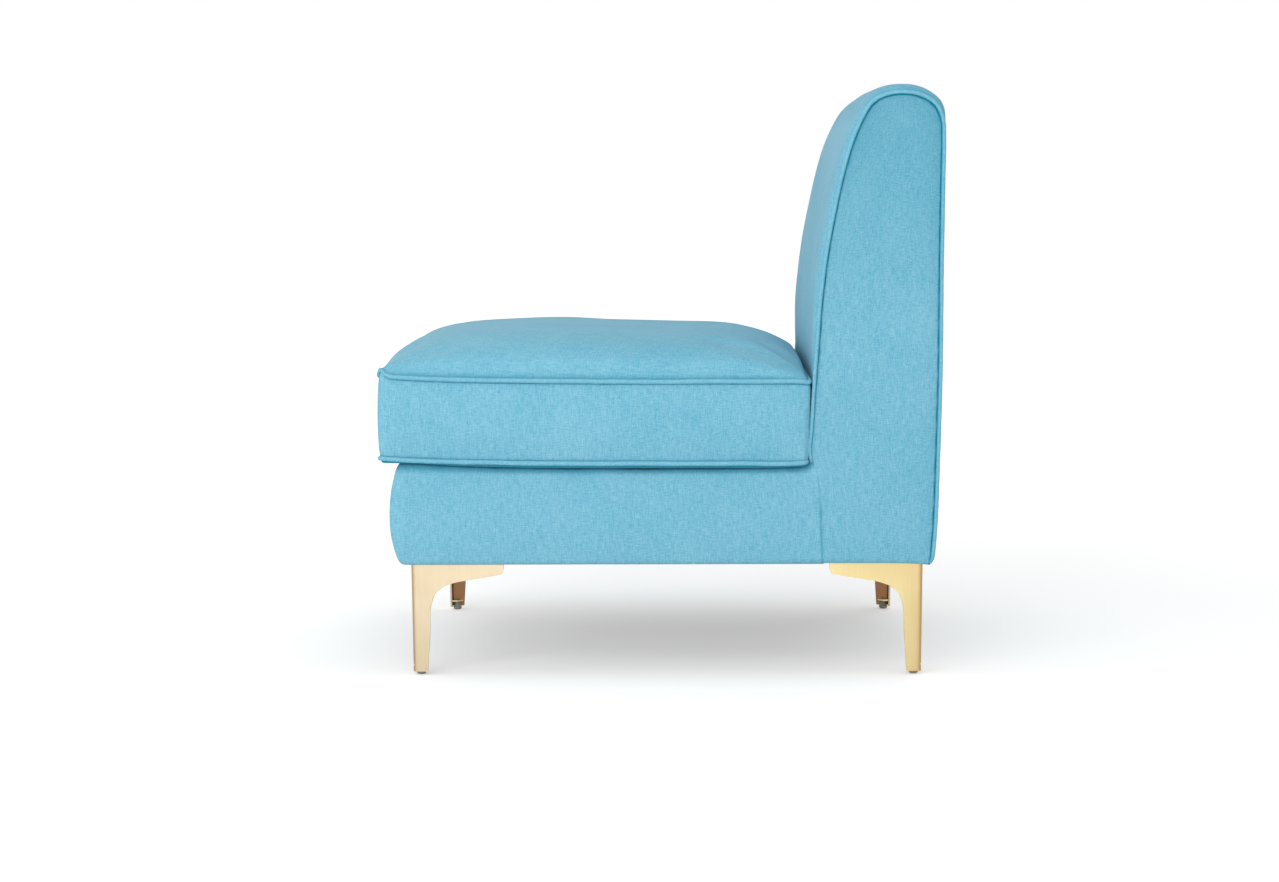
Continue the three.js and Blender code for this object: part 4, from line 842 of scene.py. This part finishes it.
WELT_LONGER, WELT_POINTS = 0.018, 520  # the cord starts that far below the seat's line
below = 0.60 * np.array([[seam_y[2] - seam_y[3], seam_z[2] - seam_z[3]]])
welt_line = smooth_line(np.concatenate([seam_line[:1] + below, seam_line]), WELT_POINTS)
rear_half = np.arange(WELT_POINTS) >= WELT_POINTS // 2
welt_out = line_out(welt_line)
welt_line = welt_line + BACK_WELT_OUT * welt_out
tucked = (1 - np.clip((welt_line[:, 1] - frame_low - 0.0005) / 0.012, 0, 1)) * rear_half
entry = (1 - np.clip((welt_line[:, 1] - seam_line[0, 1] + WELT_LONGER) / 0.02, 0, 1)) * ~rear_half
for side, sign in (("left", 1), ("right", -1)):
    drop = 0.0030 * np.exp(-(welt_line[:, 1] - frame_low) / 0.030) * (np.arange(WELT_POINTS) > WELT_POINTS // 2)
    path = np.stack([sign * (BACK_WELT_X - 0.006 * tucked ** 2 - 0.0045 * entry ** 2),
                     welt_line[:, 0] - 0.004 * tucked ** 2, welt_line[:, 1] - drop], -1)
    path[:, 0] += sign * 0.0004 * waves(np.arange(WELT_POINTS) * 0.0028, 0, 0.12, 61)
    in_plane = np.stack([0 * welt_out[:, 0], welt_out[:, 0], welt_out[:, 1]], -1)
    made = piping(f"{side}_back_piping", path, in_plane, np.array([[sign * 1.0, 0, 0]]) + 0 * path,
                  radius=BACK_WELT_RADIUS, seed=62)
    fit(made, bias_chenille, "welt", "chair", f"{side}_back_welt")


# --- Inside back -------------------------------------------------------------------------------------
# The padded front of the back: chenille over foam, from its tuck behind the cushion up over the top to the
# rear edge. It rolls out beside each welt and is crowned across the middle. Swollen as cloth.
TUCK = (0.974, 0.208)
# share of the full padding at the tuck and at each point of the seam after it
PADDING = [0, 0, 0.1, 0.15, 0.65, 0.8, 0.9, 0.95, 1, 1, 1, 1, 1, 0.95, 0.88, 0.9, 1.02, 1.22, 1.33, 1.36,
           1.30, 1.08, 0.72, 0.2]
BACK_EDGE, BACK_ROLL, BACK_CROWN, ROLL_REACH = 0.003, 0.0094, 0.0040, 0.027
COVER_HALF, BACK_ROWS = 0.3153, 96
back_points = np.concatenate([np.stack(panel_point(*TUCK), -1)[None], seam_line[:23]])
back_line, back_run = smooth_line(back_points, BACK_ROWS), run_along(back_points)
row_run = np.linspace(0, back_run[-1], BACK_ROWS)
padding = np.interp(row_run, back_run, PADDING)
padding = np.convolve(np.pad(padding, 3, mode='edge'), np.ones(7) / 7, mode='valid')
back_out = line_out(back_line)
over = graded(2 * COVER_HALF, [0, 0.0015, 0.0035, 0.0065, 0.0105, 0.0155, 0.022], 0.0088) - COVER_HALF
inset = COVER_HALF - np.abs(over)
roll = BACK_ROLL * np.sqrt(1 - (1 - np.clip(inset / ROLL_REACH, 0, 1)) ** 2)
rise = BACK_EDGE + padding[:, None] * (roll + BACK_CROWN * (1 - (over / COVER_HALF) ** 2) ** 0.9)[None]


def over_back(rise):
    """Points at heights over the back's line: the line moved along its normal, repeated across the back."""
    yz = back_line[:, None] + rise[..., None] * back_out[:, None]
    return np.concatenate([np.broadcast_to(over[None, :, None], (*rise.shape, 1)), yz], -1)


back = over_back(rise * 0.955)
back_rows, back_cols = back.shape[:2]
inner = over_back(rise - 0.02)
count = back_rows * back_cols
held = np.concatenate([border_of(back_rows, back_cols), np.arange(count, 2 * count)])
swollen = swell(np.concatenate([back.reshape(-1, 3), inner.reshape(-1, 3)]),
                shell_faces(back_rows, back_cols)[:, ::-1], held, AIR_PRESSURE, WALL_SWELL)
back = swollen[:count].reshape(back.shape)
inset_2d = np.broadcast_to(inset[None], rise.shape)
run_up = row_run[:, None] + 0 * rise
soft = 0.0014 * waves(over[None] + 0 * rise, run_up, 0.19, 71)
soft = soft * np.clip(inset_2d / 0.05, 0, 1) * padding[:, None]
gather = 0.0007 * np.exp(-inset_2d / 0.012) * (1 - np.exp(-inset_2d / 0.004))
soft = soft + gather * waves(run_up, run_up, 0.030, 72)
back[..., 1:] += soft[..., None] * back_out[:, None]
back[..., 1:] -= 0.0010 * np.exp(-(inset_2d / 0.002) ** 2)[..., None] * back_out[:, None]
# painted shade: a dark line beside each welt, darker low down where the back tucks in behind the cushion, and
# darker over the top
shade_in_tuck = 0.30 / (1 + np.exp((back[..., 2] - 0.452) / 0.012))
shade_over_top = 0.24 * np.clip((back[..., 2] - 0.77) / 0.04, 0, 1)
back_painted_shade = np.clip(0.2 * np.exp(-(inset_2d / 0.0030) ** 2) + (shade_in_tuck + shade_over_top), 0, 1)
inside_back = cloth("inside_back_cloth", back, flip=True, marks_and_shade=back_painted_shade)
fit(inside_back, chenille, "upholstery", "chair", "inside_back_cover")


# --- Outside back ------------------------------------------------------------------------------------
# A plain panel of chenille pulled flat over the rear of the frame, blind-stitched under the top edge and
# turned under the rear rail.
rear_points = seam_line[22:]
rear_line = smooth_line(rear_points, graded(1, [0, 0.003, 0.008, 0.016], 0.02))
rear_out = line_out(rear_line)
wide = graded(2 * COVER_HALF, [0, 0.0015, 0.004, 0.008, 0.015], 0.016) - COVER_HALF
from_welt = (COVER_HALF - np.abs(wide))[None]
from_top = np.linalg.norm(rear_line - rear_line[0], axis=1)[:, None]
stand = (0.0016 + 0.0018 * np.clip(from_welt / 0.05, 0, 1) ** 0.5) * (1 - np.exp(-from_top / 0.004))
stand = stand + 0.0007 * waves(wide[None] + 0 * from_top, from_top, 0.22, 81) * np.clip(from_welt / 0.05, 0, 1)
yz = rear_line[:, None] + stand[..., None] * rear_out[:, None]
rear = np.concatenate([np.broadcast_to(wide[None, :, None], (*stand.shape, 1)), yz], -1)
rear = np.concatenate([rear, rear[-1:] + np.array([0, -0.0015, -0.0006]),
                       rear[-1:] + np.array([0, -0.014, -0.0007])])
from_top = np.concatenate([from_top, from_top[-1:] + 0.002, from_top[-1:] + 0.014])
# painted shade: dark lines along the welts at the sides and under the top edge
rear_painted_shade = np.maximum(0.8 * np.exp(-(from_welt / 0.0016) ** 2), 0.9 * np.exp(-(from_top / 0.0016) ** 2))
outside_back = cloth("outside_back_cloth", rear, flip=True, marks_and_shade=rear_painted_shade)
fit(outside_back, chenille, "upholstery", "chair", "outside_back_cover")


# --- Deck and underside ------------------------------------------------------------------------------
# The deck under the cushion is a plain dark platform cloth over its pad; the underside is closed with a
# thin black dust cover, tacked flat inside the rails.
def flat_cloth(name, low, high, z, wave, seed, flip=False, thick=0.0008):
    """A level cloth between two corners, with a slight unevenness that dies away at its edges."""
    x, y = np.meshgrid(np.linspace(low.x, high.x, 60), np.linspace(low.y, high.y, 60))
    away = np.minimum(np.minimum(x - low.x, high.x - x), np.minimum(y - low.y, high.y - y))
    hang = wave * waves(x, y, 0.12, seed) * np.clip(away / 0.03, 0, 1)
    return cloth(name, np.stack([x, y, z + hang], -1), flip=flip, thick=thick, smooth=0,
                 marks_and_shade=0.5 * np.exp(-(np.abs(away - 0.012) / 0.0008) ** 2))


platform_cloth = woven("platform_cloth", (0.10, 0.11, 0.12), (0.045, 0.05, 0.055), (0.01, 0.01, 0.012),
                       pitch=0.0009, bump=0.0002, **{'Roughness': 0.95})
dust_cloth = woven("dust_cloth", (0.030, 0.031, 0.033), (0.012, 0.012, 0.013), (0.004, 0.004, 0.004),
                   pitch=0.0005, cloud=0.6, bump=0.00012, **{'Roughness': 0.9})
low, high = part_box("deck_cover")
deck_cloth = flat_cloth("deck_cloth", low, high, high.z - 0.0004, 0.0003, 91)
fit(deck_cloth, platform_cloth, "lining", "chair", "deck_cover")
low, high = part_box("dust_cover")
under_cloth = flat_cloth("dust_cloth_under", low, high, low.z, 0.0003, 92, flip=True)
fit(under_cloth, dust_cloth, "lining", "chair", "dust_cover")


# --- Padding inside ----------------------------------------------------------------------------------
# Cream foam on the deck and on the back, grey felt that keeps the foam off the springs, and jute webbing
# stretched across the back frame.
SPRING_ARCH_HEIGHT, FELT = 0.008, 0.0025
low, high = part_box("deck_pad")
felt_low, felt_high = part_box("spring_insulator")
arch_x, arch_y = np.meshgrid(np.linspace(low.x, high.x, 40), np.linspace(low.y, high.y, 50))
middle = (felt_low.y + felt_high.y) / 2
arch = np.clip(1 - ((arch_y - middle) / (felt_high.y - middle)) ** 2, 0, 1)
pad_low = felt_high.z + 0.0003 - SPRING_ARCH_HEIGHT * (1 - arch)
deck_foam = block_of("deck_foam", np.stack([arch_x, arch_y, 0 * arch_x + high.z], -1),
                     np.stack([arch_x, arch_y, np.minimum(pad_low, high.z - 0.004)], -1), sharp=50)
fit(deck_foam, cream_foam, "foam", "chair", "deck_pad")

felt, tree = blank("grey_felt")
place = put(tree, 'TexCoord', out='Object')
fibre = put(tree, 'TexNoise', place, named={'Scale': 260.0, 'Detail': 6.0, 'Roughness': 0.8, 'Distortion': 1.5})
flecks = put(tree, 'TexVoronoi', place, named={'Scale': 150.0})
tone = put(tree, 'Math', fibre, put(tree, 'Math', flecks, 0.25, operation='MULTIPLY'), operation='ADD')
surface(tree, {'Base Color': two_tone(tree, tone, (0.09, 0.09, 0.10), (0.42, 0.40, 0.38)), 'Roughness': 1.0,
               'Normal': put(tree, 'Bump', named={'Height': fibre, 'Distance': 0.0008})})
felt_x, felt_y = np.meshgrid(np.linspace(felt_low.x, felt_high.x, 50), np.linspace(felt_low.y, felt_high.y, 60))
arch = np.clip(1 - ((felt_y - middle) / (felt_high.y - middle)) ** 2, 0, 1)
felt_z = felt_high.z - SPRING_ARCH_HEIGHT * (1 - arch) + 0.0002 * waves(felt_x, felt_y, 0.05, 93)
spring_felt = cloth("spring_felt", np.stack([felt_x, felt_y, felt_z], -1), thick=FELT, smooth=0)
fit(spring_felt, felt, "felt", "chair", "spring_insulator")

PLY_INSET = 0.008
foam_rise = rise[:-2, 3:-3] - 0.0035
foam_outer = over_back(np.pad(foam_rise, ((0, 2), (3, 3))))[:-2, 3:-3]
foam_inner = over_back(0 * rise - PLY_INSET + 0.0026)[:-2, 3:-3]
back_foam = block_of("back_foam", foam_outer[:, ::-1], foam_inner[:, ::-1], sharp=60)
fit(back_foam, cream_foam, "foam", "chair", "back_pad")

jute = woven("jute_webbing", (0.42, 0.30, 0.17), (0.24, 0.16, 0.085), (0.30, 0.05, 0.03), pitch=0.0022,
             bump=0.0006, slub=0.8, **{'Roughness': 1.0})
WEB_HEIGHTS, WEB_HALF, WEB_ROWS, WEB_COLS = (0.42, 0.575, 0.72), 0.025, 15, 80
for number, share in enumerate(WEB_HEIGHTS, 1):
    centre = np.interp(frame_low + share * SIDE_HEIGHT, back_line[:, 1], row_run)
    at = (centre + np.linspace(-WEB_HALF, WEB_HALF, WEB_ROWS)) / back_run[-1]
    strip = smooth_line(back_line, at) + (0.0023 - PLY_INSET) * line_out(smooth_line(back_line, at))
    x = np.linspace(-FRAME_HALF + 0.0005, FRAME_HALF - 0.0005, WEB_COLS)
    points = np.concatenate([np.broadcast_to(x[None, :, None], (WEB_ROWS, WEB_COLS, 1)),
                             np.broadcast_to(strip[:, None], (WEB_ROWS, WEB_COLS, 2))], -1)
    stripe = np.abs(np.abs(np.linspace(-1, 1, WEB_ROWS)) - 0.72) < 0.08
    made = cloth(f"back_web_{number}", points, flip=True, thick=0.0018, smooth=0, marks_and_shade=0.8 * stripe[:, None])
    fit(made, jute, "webbing", "chair", f"back_webbing_{number}")


# --- Timber frame and springs ------------------------------------------------------------------------
# Birch plywood sides, softwood rails and corner blocks, and sinuous springs of drawn wire. All of these
# are the CAD nodes, with grain that follows each board.
def grain_group():
    """Wood grain: noise drawn out along the board, with darker late-wood lines between paler ones."""
    group, given = new_group("wood_grain", {"Place": 'Vector', "Pale": 'Color', "Dark": 'Color'})
    place = given["Place"]
    rings = put(group, 'TexNoise', place, named={
        'Scale': 1.0, 'Detail': 3.0, 'Roughness': 0.5, 'Distortion': 0.8})
    lines = put(group, 'Math', put(group, 'Math', rings, 40.0, operation='MULTIPLY'), operation='SINE')
    pores = put(group, 'TexNoise', place, named={'Scale': 9.0, 'Detail': 4.0, 'Roughness': 0.7})
    tone = put(group, 'Math', lines, 0.22, pores, operation='MULTIPLY_ADD')
    end_group(group, mix(group, put(group, 'MapRange', tone, 0.3, 0.8), given["Dark"], given["Pale"]), tone)
    return group


wood_grain = grain_group()


def wood(name, pale, dark, stretch, layers=None):
    """A board: the grain group, drawn out along one direction. Plywood is striped through its thickness."""
    made, tree = blank(name)
    place = put(tree, 'TexCoord', out='Object')
    along_board = put(tree, 'VectorMath', place, stretch, operation='MULTIPLY')
    colour = put(tree, 'Group', out="Colour", node_tree=wood_grain, named={
        "Place": along_board, "Pale": (*pale, 1), "Dark": (*dark, 1)})
    height = colour.node.outputs["Height"]
    if layers:
        ply = put(tree, 'Math', put(tree, 'SeparateXYZ', place), 2 * math.pi / layers, operation='MULTIPLY')
        band = put(tree, 'MapRange', put(tree, 'Math', ply, operation='SINE'), -0.4, 0.4, 0.72, 1.0)
        colour = put(tree, 'VectorMath', colour, named={'Scale': band}, operation='SCALE')
    normal = put(tree, 'Bump', named={'Height': height, 'Distance': 0.0004, 'Strength': 0.5})
    surface(tree, {'Base Color': colour, 'Normal': normal, 'Roughness': 0.7, 'Specular IOR Level': 0.3})
    return made


PINE_PALE, PINE_DARK = (0.66, 0.46, 0.26), (0.42, 0.25, 0.11)
pine_across = wood("pine_rail", PINE_PALE, PINE_DARK, (3.0, 60.0, 60.0))
birch_ply = wood("birch_plywood", (0.72, 0.55, 0.36), (0.55, 0.38, 0.22), (60.0, 40.0, 2.5), layers=0.0028)
steel, tree = blank("drawn_steel")
place = put(tree, 'TexCoord', out='Object')
stains = put(tree, 'TexNoise', place, named={'Scale': 60.0, 'Detail': 4.0})
surface(tree, {'Base Color': two_tone(tree, stains, (0.16, 0.15, 0.14), (0.46, 0.46, 0.47)), 'Metallic': 1.0,
               'Roughness': put(tree, 'MapRange', stains, 0, 1, 0.3, 0.55)})


def finish_node(material, *names):
    """A CAD node that is right as it is gets its finish in its own material slot."""
    for name in names:
        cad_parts[name].material_slots[0].material = material


finish_node(pine_across, "front_rail", "rear_rail", "spring_rail", "lumbar_rail", "top_rail",
            *[f"corner_block_{end}_{side}" for end in ("front", "rear") for side in ("left", "right")])
finish_node(birch_ply, "left_side_frame", "right_side_frame")
finish_node(steel, "zip_slider", *[f"seat_spring_{k}" for k in range(1, 6)])


# --- Legs --------------------------------------------------------------------------------------------
# Steel plate cut and folded into two wings, plated in a pale satin brass. A top plate with three screws
# and a small web for the glide are welded inside the fold.
LEG_TALL, LEG_WING, LEG_PLATE, LEG_BEND, LEG_LEAN, LEG_FOOT = 0.1547, 0.131, 0.003, 0.004, 0.0015, 0.005
LEG_EDGE = [(0, 0.171), (0.045, 0.175), (0.35, 0.198), (0.653, 0.228), (0.724, 0.264), (0.776, 0.336),
            (0.821, 0.472), (0.844, 0.62), (0.886, 0.916), (0.895, 0.962), (0.911, 0.985), (0.937, 0.998), (1, 1)]
EASED, FOLD_SHADE = 0.0004, 0.0032
TOP_PLATE, PLATE_REACH, PLATE_NOSE = 0.003, 0.072, 0.024
WEB_LIFT, WEB_PLATE = 0.0085, 0.0025


def leg_wings():
    """The fold's two wings as rows of L-shaped sections, in metres in from the fold and up. The lower edge
    of a wing is one smooth curve, and every cut edge is eased."""
    edge = smooth_line(np.array(LEG_EDGE) * (LEG_TALL, LEG_WING), 64)
    up, wing = edge[:, 0], edge[:, 1]
    up[0], up[-1] = 0, LEG_TALL
    lean = LEG_LEAN * (1 - up / LEG_TALL)
    inner = lean + LEG_PLATE
    quarter = np.linspace(0, np.pi / 2, 7)
    bend = [(lean + LEG_BEND - LEG_BEND * np.sin(t), lean + LEG_BEND - LEG_BEND * np.cos(t)) for t in quarter]
    hollow = [(inner + 0.001 - 0.001 * np.sin(t), inner + 0.001 - 0.001 * np.cos(t)) for t in quarter[::-2]]
    beside = lean + LEG_BEND + FOLD_SHADE
    loop = [(wing, lean + EASED), (wing - EASED, lean), (beside, lean), *bend, (lean, beside),
            (lean, wing - EASED), (lean + EASED, wing), (inner - EASED, wing), (inner, wing - EASED), *hollow,
            (wing - EASED, inner), (wing, inner - EASED)]
    a, b = np.array([p[0] for p in loop]).T, np.array([p[1] for p in loop]).T
    return np.stack([a, b, LEG_FOOT + up[:, None] + 0 * a], -1)


def prism(outline, low, high):
    """A flat plate: an outline between two heights, its sides and its two ends."""
    outline = np.asarray(outline, float)
    count = len(outline)
    ring = np.arange(count)
    points = np.concatenate([np.c_[outline, np.full(count, low)], np.c_[outline, np.full(count, high)]])
    faces = [[k, (k + 1) % count, count + (k + 1) % count, count + k] for k in ring]
    return points, faces + [list(ring[::-1]), list(count + ring)]


brass, tree = blank("satin_brass")
place = put(tree, 'TexCoord', out='Object')
brushed = put(tree, 'TexNoise', put(tree, 'VectorMath', place, (900.0, 900.0, 14.0), operation='MULTIPLY'),
              named={'Scale': 1.0, 'Detail': 3.0, 'Roughness': 0.6})
cloudy = put(tree, 'TexNoise', place, named={'Scale': 22.0, 'Detail': 3.0, 'Roughness': 0.5})
fold_reflection = put(tree, 'Attribute', attribute_name="fold_reflection", out='Fac')
tone = put(tree, 'Math', cloudy, 0.5, put(tree, 'Math', brushed, 0.5, operation='MULTIPLY'),
           operation='MULTIPLY_ADD')
plated = two_tone(tree, tone, (0.520, 0.423, 0.280), (0.585, 0.492, 0.350), (0.3, 0.7))
# painted reflection: yellower towards the rear and darker along the fold, where the metal would mirror its
# surroundings; painted shade: darker still inside the fold
rear_reflection_share = put(tree, 'MapRange', put(tree, 'SeparateXYZ', place, out=1), -0.20, 0.30)
rear_reflection_tint = mix(tree, rear_reflection_share, plated, (1.09, 1.11, 0.83, 1), blend='MULTIPLY')
fold_reflection_tint = mix(tree, put(tree, 'Math', fold_reflection, 0.75, operation='MULTIPLY'), rear_reflection_tint, (0.42, 0.25, 0.11, 1))
shade_in_fold = put(tree, 'Attribute', attribute_name="inside_fold_shade", out='Fac')
surface(tree, {
    'Base Color': mix(tree, shade_in_fold, fold_reflection_tint, (0.235, 0.120, 0.060, 1)), 'Metallic': 1.0,
    'Roughness': put(tree, 'MapRange', brushed, 0, 1, 0.26, 0.42),
    'Normal': put(tree, 'Bump', named={'Height': brushed, 'Distance': 0.00004, 'Strength': 0.5})})

wings = leg_wings()
stations, around = wings.shape[:2]
mid_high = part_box("leg_front_left")[1].z
nosed = lambda reach, nose: np.array([(0.002, 0.002), (reach, 0.002), (reach, nose), (nose, reach), (0.002, reach)])
foot_reach = LEG_WING * LEG_EDGE[0][1] * 0.94
parts = [(wings.reshape(-1, 3), grid_faces(stations, around, ring=True).tolist()
          + [list(np.arange(around)[::-1]), list((stations - 1) * around + np.arange(around))]),
         prism(nosed(PLATE_REACH, PLATE_NOSE), mid_high - TOP_PLATE, mid_high - 0.0001),
         prism(nosed(foot_reach, foot_reach * 0.6), LEG_FOOT + WEB_LIFT, LEG_FOOT + WEB_LIFT + WEB_PLATE)]
leg_points = np.concatenate([p for p, _ in parts])
starts = np.cumsum([0] + [len(p) for p, _ in parts])
leg_faces = [[int(v) + int(start) for v in face] for (_, faces), start in zip(parts, starts) for face in faces]
FOLD_POINT, INSIDE_FROM = 6, 13  # places in a section: the middle of the bend, and where its inside begins
place_in_loop = np.arange(around)


def leg_mask(section):
    """A mask with one value for each place in a section, and nothing on the two flat plates."""
    mask = np.zeros(len(leg_points))
    mask[:stations * around] = np.tile(section, stations)
    return mask


inside_fold_shade_mask = leg_mask((place_in_loop >= INSIDE_FROM) & (place_in_loop <= around - 2))
LEGS = [(end, side, sign, way) for end, way in (("front", -1), ("rear", 1))
        for side, sign in (("left", 1), ("right", -1))]
for end, side, sign, way in LEGS:
    low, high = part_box(f"leg_{end}_{side}")
    corner_x = high.x if sign > 0 else low.x
    corner_y = high.y if way > 0 else low.y
    points = np.c_[corner_x - sign * leg_points[:, 0], corner_y - way * leg_points[:, 1], leg_points[:, 2]]
    faces = leg_faces if sign * way < 0 else [face[::-1] for face in leg_faces]
    made = new_mesh(f"leg_plate_{end}_{side}", points, faces, sharp=32)
    # width of the painted reflection along the fold, wider on the rear legs
    fold_reflection_wide = 2.4 if way < 0 else 4.2
    point_mask(made, "fold_reflection", leg_mask(np.exp(-(np.abs(place_in_loop - FOLD_POINT) / fold_reflection_wide) ** 4)))
    point_mask(made, "inside_fold_shade", inside_fold_shade_mask)
    fit(made, brass, "leg_metal", "chair", f"leg_{end}_{side}")


# --- Glides and leg screws ---------------------------------------------------------------------------
# A tapered grey nylon glide is pressed into the web of each leg. Pan-head screws with a cross slot hold
# the top plate to the corner blocks.
def turned(name, profile, x, y, z, around=32, dents=None, sharp=40):
    """A turned piece: rings of a profile of radius and height pairs, from a point to a point."""
    radius, height = np.array(profile).T
    angle = np.linspace(0, 2 * np.pi, around, endpoint=False)
    points = np.stack([radius[:, None] * np.cos(angle), radius[:, None] * np.sin(angle),
                       height[:, None] + 0 * angle], -1)
    if dents is not None:
        points[..., 2] += dents(points[..., 0], points[..., 1], height[:, None])
    body = points[1:-1].reshape(-1, 3)
    rings = len(profile) - 2
    ends = np.array([points[0].mean(0), points[-1].mean(0)])
    ring = np.arange(around)
    faces = grid_faces(rings, around, ring=True).tolist()
    faces += [[rings * around, int((k + 1) % around), int(k)] for k in ring]
    last = (rings - 1) * around
    faces += [[rings * around + 1, int(last + k), int(last + (k + 1) % around)] for k in ring]
    return new_mesh(name, np.concatenate([body, ends]) + (x, y, z), faces, sharp)


glide_grey, tree = blank("glide_nylon")
scuffs = put(tree, 'TexNoise', put(tree, 'TexCoord', out='Object'),
             named={'Scale': 240.0, 'Detail': 4.0, 'Roughness': 0.7})
surface(tree, {
    'Base Color': two_tone(tree, scuffs, (0.19, 0.175, 0.135), (0.38, 0.36, 0.29)),
    'Roughness': put(tree, 'MapRange', scuffs, 0, 1, 0.35, 0.65),
    'Normal': put(tree, 'Bump', named={'Height': scuffs, 'Distance': 0.0001})})
plated_screw, tree = blank("zinc_screw")
scuffs = put(tree, 'TexNoise', put(tree, 'TexCoord', out='Object'), named={'Scale': 500.0, 'Detail': 3.0})
surface(tree, {'Base Color': two_tone(tree, scuffs, (0.36, 0.35, 0.32), (0.70, 0.69, 0.66)), 'Metallic': 1.0,
               'Roughness': put(tree, 'MapRange', scuffs, 0, 1, 0.22, 0.45)})
neck = LEG_FOOT + WEB_LIFT - 0.0003
GLIDE = [
    (0, 0), (0.0025, 0), (0.0044, 0.0002), (0.0058, 0.0011), (0.0067, 0.0024), (0.0070, 0.0038),
    (0.0068, 0.0050), (0.0060, 0.0056), (0.0052, 0.0072), (0.0042, 0.0105), (0.0036, neck), (0.0024, neck),
    (0.0024, neck + 0.0028), (0.0016, neck + 0.0034), (0, neck + 0.0034)]
HEAD, HEAD_TALL, SHANK, BITE = 0.0042, 0.0024, 0.0021, 0.024
SCREW = [
    (0, -HEAD_TALL), (0.0009, -HEAD_TALL), (0.0016, -0.00238), (0.0022, -0.0023), (0.0032, -0.0019),
    (0.0039, -0.0012), (HEAD, -0.0003), (HEAD, 0), (SHANK, 0), (SHANK, BITE), (0, BITE + SHANK)]


def cross_slot(x, y, height):
    """Depth of the driver's cross: two bars sunk into the middle of the head."""
    bar = np.maximum(np.exp(-(x / 0.0005) ** 4), np.exp(-(y / 0.0005) ** 4))
    return 0.0012 * bar * (np.hypot(x, y) < 0.0023) * (height < 0)


for end, side, sign, way in LEGS:
    low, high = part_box(f"glide_{end}_{side}")
    x, y = (low.x + high.x) / 2, (low.y + high.y) / 2
    fit(turned(f"nylon_glide_{end}_{side}", GLIDE, x, y, 0), glide_grey, "glide", "chair", f"glide_{end}_{side}")
    for number in (1, 2, 3):
        low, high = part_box(f"leg_screw_{end}_{side}_{number}")
        x, y = (low.x + high.x) / 2, (low.y + high.y) / 2
        made = turned(f"cross_screw_{end}_{side}_{number}", SCREW, x, y, low.z + HEAD_TALL, dents=cross_slot)
        fit(made, plated_screw, "screw", "chair", f"leg_screw_{end}_{side}_{number}")
